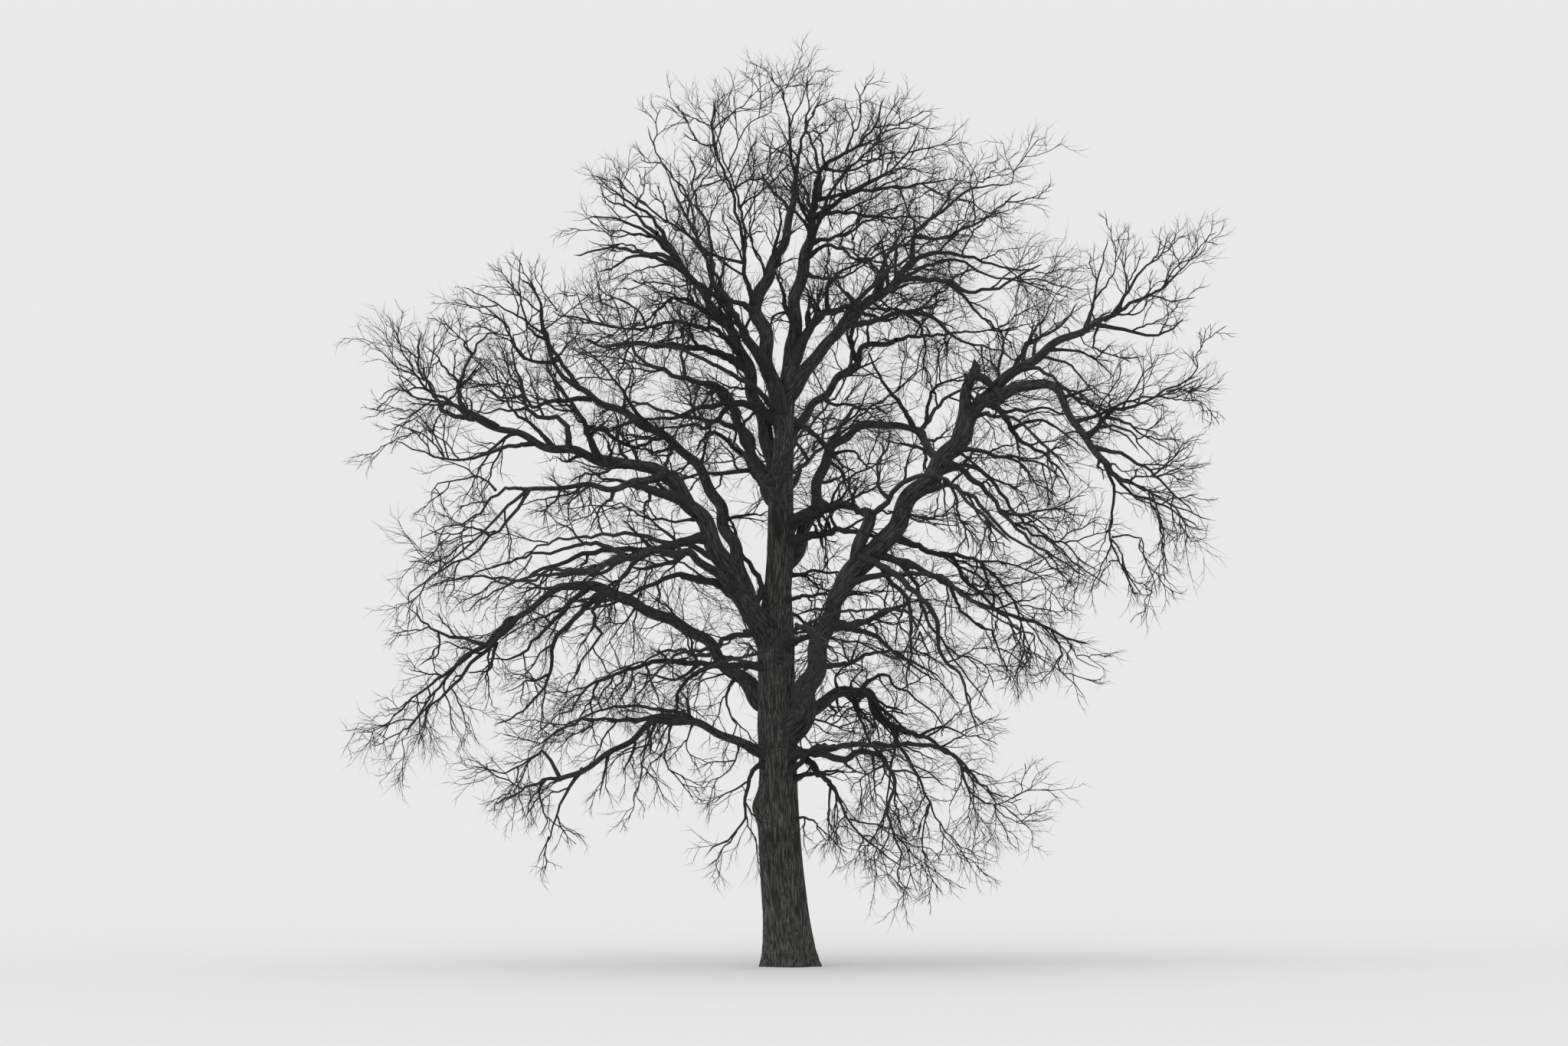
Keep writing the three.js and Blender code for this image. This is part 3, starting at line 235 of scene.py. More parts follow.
# Branches between the boughs' and the masses' scale, by piece: what carries it, its thickness at the foot
# and at the end, how its twigs lift, how full of twigs it is, and its way, the first point of which moves to
# the nearest place on what carries it
branchSpec = {}
branchSpec["crown_top"] = {
    "centre_fan_low": ("leader_centre", 0.1, 0.03, 0.6, 0.8,
        ".5 .6 15.5, 1 .3 15.8, 1.5 -.3 15.5, 2.3 -.9 15.7, 3 -1.4 16.3"),
    "centre_fan_mid": ("leader_centre", 0.1, 0.03, 0.8, 1.4,
        ".5 .8 15.8, 1.1 1.2 16, 1.8 1.9 16.4, 2.7 2.3 16.8"),
    "centre_fan_high": ("leader_centre", 0.09, 0.03, 0.9, 0.6,
        ".7 1 16.8, 1.2 .6 17, 1.7 .3 17.1, 2.5 0 17.8, 2.9 -.2 18.5"),
    "centre_fan_back": ("leader_centre", 0.1, 0.03, 0.8, 1.4,
        ".4 .7 15.6, .5 1.9 16.4, .9 2.9 16.9, 1 3.7 17.8"),
    "left_leader_side": ("leader_left", 0.15, 0.035, 0.5, 1.3,
        "-.6 -.7 14.3, -1 -1 14.5, -1.4 -1.2 14.6, -2.1 -1.6 15, -2.7 -2 15.7"),
    "centre_right_limb": ("leader_centre", 0.36, 0.05, 0.4, 2.2,
        ".05 -.1 12.95, .2 0 13.45, .46 .3 13.95, .75 .8 14.3, 1.4 1.5 14.5, 2 2 14.7, 2.7 2.5 15"),
    "centre_right_rise": ("centre_right_limb", 0.11, 0.03, 0.8, 0.8,
        ".7 1 14.3, .9 1.1 14.9, 1.2 1.3 15.3, 1.7 1.6 15.6, 2.2 2 16.3"),
    "centre_right_short": ("centre_right_limb", 0.11, 0.03, 0.4, 1,
        "1.2 1.5 14.4, 2.1 2.4 14.2, 2.6 2.9 14.3, 3.4 3.4 14.5"),
    "west_leader_fan": ("leader_west_twigs", 0.16, 0.03, 0.8, 1,
        "-1 -1.4 15.4, -1.6 -1 15.5, -2 -1.2 15.9, -2.7 -1.5 16.5"),
    "west_leader_inner": ("leader_west_twigs", 0.11, 0.025, 0.9, 1,
        "-1.15 -1.7 16.7, -.7 -1.5 17, -.4 -1.3 17.2, -.1 -1.1 17.5, .3 -.9 17.9"),
    "west_leader_crown": ("leader_west_twigs", 0.1, 0.02, 0.9, 1,
        "-1.4 -2.1 17.5, -1.2 -2 17.9, -.95 -1.9 18.4, -.7 -1.8 18.65, -.4 -1.7 19, -.5 -1.7 19.6"),
    "front_leader_fan": ("upper_left_front_twigs", 0.08, 0.025, 0.8, 0.7,
        "-2.1 -3.6 16.7, -2 -3.4 17.05, -1.6 -3.2 17.3, -1.3 -3 17.5, -1.1 -2.8 17.9"),
    "upper_left_low": ("upper_left_bough", 0.13, 0.035, 0.4, 0.24,
        "-2.3 1.6 15.2, -3.2 2.4 15.7, -4 2.8 15.8, -4.8 3 15.6"),
    "upper_left_mid": ("upper_left_bough", 0.12, 0.03, 0.6, 0.3,
        "-2.4 1.7 15.4, -2.9 .9 15.9, -3.7 .3 16.3, -4.5 -.1 16.4"),
    "upper_left_inner": ("upper_left_bough", 0.11, 0.03, 0.9, 0.5,
        "-1.8 1.4 14.6, -1.7 2.3 15.8, -2.1 3 16.9, -2.2 3.4 17.9"),
    "upper_right_rise": ("upper_right_bough", 0.12, 0.03, 0.9, 1,
        "1.8 -1.2 14.7, 2 -1.5 15.3, 2.2 -1.9 15.8, 2.8 -2.3 16, 3.4 -2.7 16.8"),
    "upper_right_long": ("upper_right_twigs", 0.11, 0.03, 0.8, 1,
        "2.9 -1.9 16, 3.5 -1.2 16, 4.1 -.9 16.3, 4.7 -.6 16.7, 5.15 -.5 17.05"),
    "upper_right_level": ("upper_right_bough", 0.14, 0.035, 0.3, 0.6,
        "2.4 -1.5 15, 3.4 -2.2 15.1, 4 -2.6 14.7, 4.9 -3.3 15, 5.6 -3.9 15.4"),
    "upper_right_low": ("upper_right_bough", 0.15, 0.035, 0.1, 1.4,
        "1.2 -.8 14.1, 2.1 -.1 14.2, 2.6 .3 14.35, 3.2 .7 14.2, 3.5 1 13.8, 4.2 1.4 13.55, 4.8 1.7 13.4"),
    "upper_right_front": ("upper_right_bough", 0.17, 0.035, 0.5, 0.7,
        "1 -.7 13.8, 1.5 -2.2 14.6, 2.3 -3.9 15.3, 3.1 -5.2 15.9"),
    "west_leader_stem": ("leader_west_twigs", 0.15, 0.04, 0.8, 0.6,
        "-1 -1.5 15.6, -1.15 -1.7 16.5, -1.25 -1.9 17.1, -1.45 -2.1 17.55, -1.75 -2.3 18.05, "
        "-1.75 -2.4 18.5, -1.7 -2.5 19.1"),
    "west_crown_left": ("west_leader_stem", 0.05, 0.015, 0.9, 1,
        "-1.75 -2.3 18.05, -2.1 -2.5 18.2, -2.3 -2.7 18.6, -2.4 -2.8 18.9"),
    "west_crown_inner": ("west_leader_stem", 0.05, 0.015, 0.9, 1,
        "-1.7 -2.2 18, -1.55 -2 18.4, -1.35 -1.8 18.7, -1.3 -1.7 19.3"),
    "west_leader_side": ("west_leader_stem", 0.1, 0.025, 0.9, 1,
        "-1.2 -1.8 17.05, -.9 -2.1 17.25, -.5 -2.4 17.4, -.4 -2.5 17.8, -.4 -2.6 18.4"),
    "front_leader_left": ("upper_left_front_twigs", 0.11, 0.025, 0.8, 0.7,
        "-2.1 -3.5 16.2, -2.1 -3.4 16.7, -2.45 -3.4 17.2, -2.85 -3.4 17.65, -3 -3.4 18.1, -3.15 -3.4 18.5"),
    "upper_left_far": ("upper_left_bough", 0.1, 0.025, 0.7, 0.5,
        "-2.6 1.7 15.9, -3 1.5 16.4, -3.6 1.3 16.8, -3.9 1.2 17.1, -4.4 1 17.4"),
    "top_left_stem": ("leader_left", 0.13, 0.03, 0.9, 1,
        ".1 -.3 17, .25 -.3 17.6, .3 -.2 18.2, .5 -.1 18.6, .75 0 19.2"),
    "top_right_limb": ("leader_centre", 0.16, 0.03, 0.9, 0.6,
        ".55 .9 16.6, .65 .7 17.3, 1 .5 17.75, 1.5 .3 18.05, 1.8 .1 18.4, 2.15 -.1 19.2"),
    "top_right_side": ("top_right_limb", 0.06, 0.02, 0.6, 0.6,
        "1.5 .3 18.05, 2 .6 18.3, 2.6 .8 18.45, 3.2 1 18.8"),
    "top_right_rise": ("top_right_limb", 0.06, 0.02, 0.9, 1,
        "1.25 .4 17.9, 1.4 .8 18.4, 1.55 1.1 18.9, 1.45 1.3 19.5"),
    "centre_fan_long": ("leader_centre", 0.13, 0.03, 0.4, 1,
        ".6 .9 16.4, 1 .6 16.65, 1.5 .2 17, 2.2 -.2 17.1, 3 -.5 17.15, 3.6 -.7 17.3"),
    "centre_fan_level": ("leader_centre", 0.11, 0.03, 0.3, 1,
        ".6 .9 16.4, 1.1 1.4 16.55, 1.7 1.9 16.45, 2.5 2.3 16.45, 3.2 2.6 16.4"),
    "centre_fan_steep": ("centre_fan_long", 0.08, 0.02, 0.7, 1.4,
        "1.2 .4 16.85, 1.7 -.4 17.25, 2.3 -.9 17.45, 2.9 -1.2 17.7"),
    "centre_fan_top": ("top_right_limb", 0.08, 0.02, 0.6, 1.1,
        ".8 .6 17.5, 1.4 1 17.5, 2 1.3 17.8, 2.7 1.5 17.85"),
    "centre_level": ("leader_centre", 0.1, 0.025, 0.3, 1,
        ".3 .7 15.2, .7 .3 15.15, 1.1 0 15.1, 1.5 -.3 15.3, 1.9 -.6 15.6"),
    "centre_inner_left": ("leader_centre", 0.12, 0.03, 0.8, 1,
        ".1 .3 14.1, -.15 .5 14.5, -.2 .6 14.8, -.35 .8 15.15, -.35 .9 15.5"),
    "leader_left_stub": ("leader_left", 0.05, 0.02, 0.8, 1, "-.45 -.7 15.3, -.3 -1.1 15.6, -.25 -1.3 16"),
    "upper_right_arc": ("upper_right_bough", 0.13, 0.03, 0.3, 1,
        "2.6 -1.6 15.3, 3 -1.2 15.65, 3.6 -.9 15.7, 4.2 -.6 15.5, 4.8 -.4 15.35, 5.5 -.2 15.2"),
    "upper_right_fall": ("upper_right_level", 0.12, 0.03, 0, 1,
        "3.4 -2.2 15, 3.8 -2 14.65, 4.2 -1.8 14.3, 4.6 -1.6 14, 5.1 -1.4 13.95"),
    "low_fall_thread": ("upper_right_low", 0.08, 0.02, -0.5, 1,
        "2.5 .2 14.3, 2.85 .4 14.1, 3.05 .5 13.7, 3 .6 13.4, 2.85 .7 13.05, 2.9 .8 12.7"),
    "fan_level": ("upper_left_bough", 0.12, 0.025, 0.2, 0.4,
        "-2.2 1.6 15.2, -2.7 1.4 15.47, -3 1.2 15.57, -3.4 1 15.53, -3.7 .9 15.42, -4 .8 15.38, "
        "-4.3 .7 15.2"),
    "fan_level_upper": ("fan_level", 0.07, 0.02, 0.3, 0.3,
        "-3 1.2 15.57, -3.3 1.5 15.7, -3.6 1.7 15.8, -4 1.9 15.75, -4.4 2.1 15.85"),
    "fan_level_low": ("fan_level", 0.05, 0.015, -0.2, 0.3,
        "-2.6 1.4 15.45, -3 1.1 15.4, -3.3 .9 15.3, -3.6 .7 15.25, -3.9 .6 15.05, -4.2 .5 14.95"),
    "fan_mid": ("upper_left_bough", 0.07, 0.02, 0.5, 0.3,
        "-2.8 1.7 15.95, -3.2 2 16.08, -3.55 2.2 16.1, -3.85 2.4 16.12, -4.1 2.6 16.25, -4.4 2.8 16.6"),
    "fan_mid_low": ("fan_mid", 0.05, 0.015, 0.5, 0.5,
        "-3.1 1.9 16.05, -3.5 1.6 16, -3.9 1.4 16, -4.2 1.2 16.2, -4.45 1 16.4"),
    "fan_twin": ("upper_left_front_twigs", 0.12, 0.03, 0.6, 0.4,
        "-1.8 -2.9 15.55, -2.1 -3.2 15.95, -2.4 -3.5 16.22, -2.75 -3.7 16.42, -3.1 -3.9 16.58, "
        "-3.45 -4.1 16.72, -3.65 -4.2 17, -3.9 -4.4 17.4"),
    "fan_riser": ("upper_left_far", 0.05, 0.015, 0.9, 0.6,
        "-3.4 1.35 16.7, -3.3 1.2 16.9, -3.25 1.1 17.2, -3.2 1 17.6"),
    "fan_inner_riser": ("fan_twin", 0.05, 0.015, 0.9, 1,
        "-2.65 -3.65 16.38, -2.7 -3.4 16.7, -2.95 -3.2 16.9, -3.1 -3 17.3"),
    "leader_side_level": ("left_leader_side", 0.07, 0.02, 0.2, 1,
        "-1.8 -1.4 14.85, -2.1 -1.5 14.93, -2.5 -1.7 14.93, -2.9 -1.9 14.97, -3.3 -2.1 15"),
    "front_twin_limb": ("leader_left", 0.22, 0.1, 0.6, 1,
        "-.35 -.1 12.9, -.7 -.75 13.4, -1 -1.35 13.85, -1.3 -2 14.35, -1.55 -2.5 14.9, -1.85 -3 15.5"),
    "centre_hook": ("leader_centre", 0.08, 0.03, 0.2, 1.5,
        "0 .1 14.05, -.12 0 14.35, -.35 -.1 14.35, -.41 -.15 14.15, -.38 -.2 13.95"),
    "rise_cross": ("upper_right_rise", 0.08, 0.03, 0.5, 1,
        "1.95 -1.4 15.15, 1.78 -1.1 15.4, 1.6 -.9 15.55, 1.4 -.7 15.75, 1.35 -.5 16, 1.3 -.4 16.3"),
    "leader_loop": ("leader_left", 0.07, 0.03, 0.6, 1,
        "-.52 -.75 15.05, -.55 -.9 15.35, -.68 -1 15.6, -.82 -1.1 15.85, -.75 -1.2 16.05, -.5 -1.3 16.15"),
    "leader_loop_side": ("leader_loop", 0.05, 0.02, 0.6, 1,
        "-.8 -1.1 15.85, -.95 -1.2 16.1, -.9 -1.3 16.4, -1 -1.4 16.7"),
}
branchSpec["crown_right"] = {
    "stub_split": ("broken_stub", 0.19, 0.15, 0.1, 0.1,
        "4.02 -1.56 12.95, 4.3 -1.6 12.82, 4.55 -1.65 12.55, 4.7 -1.7 12.3"),
    "trunk_cross_shoot": ("trunk", 0.16, 0.03, 0.1, 1,
        ".05 0 12, .4 .5 11.66, .7 .9 11.4, .95 1.3 11.2, 1.25 1.5 10.95, 1.5 1.7 10.75"),
    "right_arch_return": ("right_arch_bough", 0.13, 0.035, 0.5, 0.5,
        "2.8 3.7 11.7, 2.3 3.2 12.4, 2 2.9 12.9, 1.7 2.6 13.5"),
    "right_arch_back": ("right_arch_bough", 0.14, 0.035, 0.3, 0.24,
        ".8 1.8 11, 1.2 3.3 11.9, 1.6 4.9 12.2, 2.2 6.4 12.1"),
    "right_elbowed_limb": ("trunk", 0.22, 0.06, 0, 0.3,
        ".1 0 9.5, .6 -.4 9.9, 1.3 -1.5 10, 1.8 -2.1 9.8, 2.3 -2.6 10.3, 3.1 -3.3 10.7, 3.7 -3.7 10.3, "
        "4.9 -4.5 9.2"),
    "right_short_limb": ("trunk", 0.2, 0.07, 0, 2.0,
        ".1 0 9.2, .5 -.4 9.42, .9 -.9 9.5, 1.3 -1.4 9.48, 1.6 -1.8 9.4, 2.2 -2.4 9.2"),
    "right_high_rise": ("right_high_bough", 0.1, 0.02, 0.9, 0.24,
        "6.5 -1.8 14, 6.55 -1.7 14.2, 6.8 -1.5 14.6, 6.75 -1.4 14.8, 6.9 -1.3 15.4, 7.05 -1.2 16.1"),
    "right_high_front": ("right_far_twigs", 0.1, 0.02, 0.9, 1,
        "7.1 -2 14.3, 7.4 -2.4 14.7, 7.75 -2.6 15.25, 8.1 -2.8 15.6, 8.4 -2.9 16.1"),
    "right_high_level": ("right_high_bough", 0.1, 0.03, 0.3, 0.7,
        "6.7 -1.9 14.1, 7.6 -1.4 13.9, 8.2 -1.2 13.8, 8.7 -1.1 14.2"),
    "right_high_inner": ("right_high_bough", 0.13, 0.03, 0.7, 0.4,
        "4.9 -1.5 13, 5.2 -.6 13.6, 5.9 .1 14, 6.4 .5 14.6"),
    "elbow_side": ("elbow_bough", 0.1, 0.03, -0.3, 1,
        "6.7 -2.8 11.4, 7.6 -2.4 11.1, 8.2 -2 10.6, 8.9 -1.8 9.8"),
    "elbow_fork": ("elbow_out_twigs", 0.08, 0.025, 0, 1.4, "7.4 -3.3 10.5, 7.8 -3.6 10.7, 8.7 -4.2 10.8"),
    "elbow_hang": ("elbow_out_twigs", 0.08, 0.025, -1, 1, "7.9 -3.5 10.3, 8.1 -3.5 9.4, 8.3 -3.6 8.5"),
    "elbow_back": ("elbow_bough", 0.11, 0.03, -0.2, 0.3, "5.8 -2 12.7, 6.3 -.9 12.5, 7 0 11.9, 7.7 .6 11.2"),
    "high_bough_front": ("right_high_bough", 0.12, 0.03, -0.3, 0.8,
        "3.6 -1.6 11.3, 4.5 -2.2 11.2, 5.3 -2.8 11.1, 6.1 -3.2 10.6"),
    "high_bough_back": ("right_high_bough", 0.16, 0.03, -0.4, 1,
        "4.35 -1.4 12.45, 4.65 -.9 12.15, 4.8 -.6 11.9, 4.9 -.4 11.67, 5 -.3 11.44, 5.2 -.1 11.27, "
        "5.45 .1 11.2, 5.7 .3 11.02, 5.95 .5 10.93, 6.1 .6 10.73, 6.2 .7 10.4"),
    "high_bough_spray": ("right_high_bough", 0.11, 0.03, -0.5, 0.8,
        "4 -1.4 12, 4.6 -2.6 12, 5.4 -3.6 11.6, 6.1 -4.4 10.8"),
    "shoulder_riser": ("right_shoulder_bough", 0.12, 0.05, 0.6, 1,
        "1.4 2.1 13.3, 1.45 1.9 13.7, 1.5 1.7 14.1, 1.7 1.5 14.5"),
    "right_arch_forward": ("right_arch_twigs", 0.1, 0.03, 0.6, 1.4,
        "3 4 12, 3.1 3.6 12.45, 3.3 3.3 12.7, 3.8 2.9 12.85, 4.3 2.6 13.1"),
    "right_high_rise_fork": ("right_high_rise", 0.06, 0.015, 0.9, 0.6,
        "6.8 -1.5 14.6, 7.1 -1.8 15, 7.3 -2 15.4, 7.4 -2.1 16.1"),
    "right_far_limb": ("right_far_twigs", 0.08, 0.02, 0.8, 1,
        "7.6 -2.2 14.65, 8.15 -2.3 14.85, 8.5 -2.4 15.15, 8.8 -2.4 15.5, 9.05 -2.5 15.8"),
    "right_far_under": ("right_far_twigs", 0.06, 0.015, 0.5, 0.7,
        "7.1 -2.1 14.3, 7.4 -1.8 14.25, 7.75 -1.6 14.3, 8.1 -1.4 14.6, 8.5 -1.3 15.05"),
    "high_tip_hang": ("right_high_bough", 0.06, 0.015, -0.6, 0.6,
        "6.9 -1.9 14, 6.75 -1.7 13.65, 7 -1.6 13.5, 7.4 -1.5 13.3, 7.9 -1.4 13.35"),
    "high_tip_drop": ("right_high_bough", 0.08, 0.02, -0.5, 0.8,
        "5.8 -1.6 13.35, 6.3 -1.2 13.45, 6.6 -.9 13.3, 6.9 -.7 13.1, 7.15 -.5 12.85"),
    "high_bough_slant": ("right_high_bough", 0.1, 0.025, -0.3, 0.3,
        "5.1 -1.5 13.05, 5.7 -2.2 12.95, 6.1 -2.6 12.6, 6.5 -2.9 12.35, 7.2 -3.2 12.25"),
    "high_bough_slant_upper": ("right_high_bough", 0.07, 0.02, -0.4, 0.2,
        "5.6 -1.6 13.2, 6.1 -1 13.15, 6.4 -.6 12.85, 6.8 -.3 12.4, 7.2 0 12.2"),
    "elbow_up_limb": ("elbow_bough", 0.22, 0.03, 0.6, 1,
        "6.5 -2.6 11.5, 6.75 -2.7 11.78, 6.97 -2.8 11.97, 7.15 -2.85 12.12, 7.5 -3 12.27, 8.1 -3.3 12.4, "
        "8.6 -3.5 12.7, 9.1 -3.7 12.95"),
    "elbow_up_level": ("elbow_up_limb", 0.06, 0.015, 0.1, 3.0,
        "8.1 -3.3 12.4, 8.5 -3 12.45, 8.9 -2.8 12.4, 9.2 -2.7 12.2"),
    "elbow_up_rise": ("elbow_up_limb", 0.05, 0.015, 0.9, 2.0,
        "8.7 -3.5 12.8, 8.95 -3.7 13.15, 9.05 -3.8 13.6, 9.15 -3.8 13.9"),
    "elbow_up_arc": ("elbow_up_limb", 0.08, 0.015, -0.3, 0.6,
        "7 -2.8 11.98, 7.3 -2.9 11.99, 7.53 -3 11.89, 7.72 -3 11.69, 7.98 -3.1 11.49, 8.23 -3.2 11.38, "
        "8.54 -3.2 11.18"),
    "elbow_up_fall": ("elbow_up_limb", 0.08, 0.02, -0.2, 0.25,
        "6.78 -2.7 11.8, 7.08 -2.2 11.89, 7.25 -2 11.8, 7.42 -1.8 11.69, 7.58 -1.6 11.49, 7.73 -1.5 11.32, "
        "7.98 -1.3 11.07, 8.23 -1.2 10.9"),
    "elbow_side_rise": ("elbow_side", 0.07, 0.015, 0.6, 1,
        "8.05 -2.1 10.8, 8.25 -2.2 10.93, 8.48 -2.2 11.02, 8.62 -2.3 11.21, 8.82 -2.3 11.41, 9.1 -2.4 11.5"),
    "elbow_low_limb": ("elbow_out_twigs", 0.15, 0.03, -0.2, 0.9,
        "7.1 -3.05 10.8, 7.27 -2.9 10.5, 7.38 -2.8 10.32, 7.58 -2.7 10.22, 7.9 -2.6 10.2, 8.15 -2.6 10.18, "
        "8.5 -2.5 9.95, 8.8 -2.4 9.8, 9 -2.4 9.5"),
    "elbow_drop_side": ("elbow_drop_twigs", 0.08, 0.02, -0.6, 1,
        "7.2 -2.2 9.4, 7.47 -2.4 9.44, 7.58 -2.5 9.33, 7.67 -2.6 9.1, 7.75 -2.6 8.94, 7.83 -2.7 8.74, "
        "7.95 -2.7 8.51, 8.03 -2.8 8.23, 8.03 -2.8 8"),
    "elbow_drop_straight": ("elbow_drop_twigs", 0.06, 0.015, -1, 1,
        "7.25 -2.1 9.35, 7.31 -1.9 9, 7.33 -1.8 8.8, 7.35 -1.7 8.43, 7.41 -1.6 8.29, 7.39 -1.6 8"),
    "elbow_drop_return": ("elbow_drop_twigs", 0.05, 0.015, -0.2, 1,
        "7.26 -2.1 8.85, 7.02 -2.3 8.74, 6.88 -2.4 8.68, 6.65 -2.5 8.68"),
    "elbow_short_drop": ("elbow_bough", 0.06, 0.02, -0.9, 1,
        "6.8 -2.9 11.1, 6.83 -2.8 10.85, 6.88 -2.7 10.6"),
    "elbow_bridge": ("elbow_bough", 0.05, 0.015, -0.2, 1,
        "7 -3 10.95, 7.24 -3.4 10.9, 7.35 -3.5 10.74, 7.55 -3.6 10.6"),
    "arch_drop": ("right_arch_bough", 0.1, 0.05, -0.6, 1, "2.83 3.75 11.62, 2.95 3.2 11.25, 3 2.6 10.8"),
    "arch_tie": ("right_high_bough", 0.22, 0.1, 0.5, 0.5,
        "3.42 -1.5 11.05, 3.2 -.8 11.2, 3.02 0 11.4, 2.88 .9 11.6, 2.75 1.5 11.75"),
    "elbow_riser": ("right_elbowed_limb", 0.1, 0.025, 0.9, 0.5,
        "2.14 -2.5 10.15, 1.94 -2.2 10.37, 1.87 -2 10.74, 1.97 -1.8 11, 2.14 -1.6 11.27, 2.2 -1.4 11.55, "
        "2.16 -1.3 11.75"),
    "inner_cross_stub": ("right_inner_twigs", 0.07, 0.025, 0.4, 0.7,
        ".93 2.2 10.1, 1.12 1.8 10.5, 1.49 1.4 10.77, 1.97 1 11.03, 2.28 .8 11.15"),
    "arch_under": ("right_arch_bough", 0.08, 0.02, 0, 0.5,
        ".9 1.9 11.2, 1.29 1.6 11.36, 1.41 1.5 11.2, 1.52 1.4 11.05, 1.69 1.3 10.9, 1.85 1.2 10.78, "
        "2 1.1 10.5"),
    "arch_under_fall": ("right_arch_bough", 0.08, 0.02, -0.5, 0.7,
        ".85 1.8 11.05, 1.1 2.1 10.85, 1.2 2.2 10.7, 1.27 2.3 10.4, 1.35 2.4 10.2, 1.48 2.5 10"),
    "short_limb_drop": ("right_short_limb", 0.07, 0.02, -0.8, 1,
        ".6 -.6 9.35, .73 -.75 9.16, .82 -.85 8.85, .93 -1 8.55"),
    "elbow_fall": ("right_elbowed_limb", 0.09, 0.03, -0.5, 1.4,
        "3.4 -3.5 10.55, 3.55 -3.3 10.4, 3.58 -3.1 10.1, 3.62 -3 9.82, 3.87 -2.8 9.68, 3.94 -2.7 9.4, "
        "3.9 -2.6 9"),
    "high_bough_low_level": ("right_high_bough", 0.07, 0.02, 0, 1.5,
        "2.45 -1.8 9.9, 2.95 -2.2 9.84, 3.25 -2.4 9.84, 3.63 -2.7 9.83, 4 -3 9.73"),
    "elbow_hang_inner": ("right_elbowed_limb", 0.07, 0.02, -0.9, 1,
        "4.35 -4.1 9.75, 4.4 -3.9 9.45, 4.5 -3.8 9.2, 4.36 -3.7 8.85"),
    "elbow_hang_near": ("right_elbowed_limb", 0.06, 0.02, -0.9, 1,
        "4.3 -4.1 9.8, 4.3 -4.4 9.45, 4.19 -4.5 9.19, 4.18 -4.6 8.94"),
    "high_bough_thread": ("right_high_bough", 0.07, 0.02, -0.3, 0.7,
        "3.6 -1.5 11.35, 4.05 -1 10.96, 4.36 -.7 10.71, 4.47 -.6 10.6, 4.85 -.4 10.55, 5.05 -.2 10.28, "
        "5.2 0 10.06, 5.3 .1 9.84"),
    "high_front_fall": ("high_bough_front", 0.07, 0.02, -0.6, 0.8,
        "4.8 -2.4 11.15, 5 -2.7 11, 5.19 -2.9 10.79, 5.39 -3.1 10.62, 5.5 -3.2 10.45, 5.53 -3.3 10.2"),
    "high_bough_cross": ("right_high_bough", 0.1, 0.02, 0, 0.3,
        "4.2 -1.4 12.35, 4.77 -1 12.14, 5.33 -.6 12.2, 5.75 -.3 12.1, 6.1 -.1 12.03, 6.5 .1 11.95, "
        "6.8 .3 11.85"),
    "high_bough_cross_low": ("high_bough_back", 0.09, 0.02, -0.3, 0.6,
        "4.9 -.4 11.8, 5.16 -.9 12, 5.47 -1.2 11.9, 5.75 -1.4 11.8, 6.04 -1.6 11.66, 6.29 -1.8 11.55, "
        "6.46 -1.9 11.35, 6.63 -2 11.18"),
    "inner_cross_limb": ("trunk", 0.32, 0.16, 0, 0.7,
        "-.2 0 9.2, .05 .4 9.55, .35 1 9.88, .65 1.7 10.03, 1.05 2.6 10.06, 1.45 3.6 9.98"),
    "trunk_right_cross": ("trunk", 0.06, 0.03, 0, 1,
        "-.1 .1 8.45, .35 .5 8.42, .6 .8 8.32, .9 1 8.2, 1.1 1.2 8.15"),
}
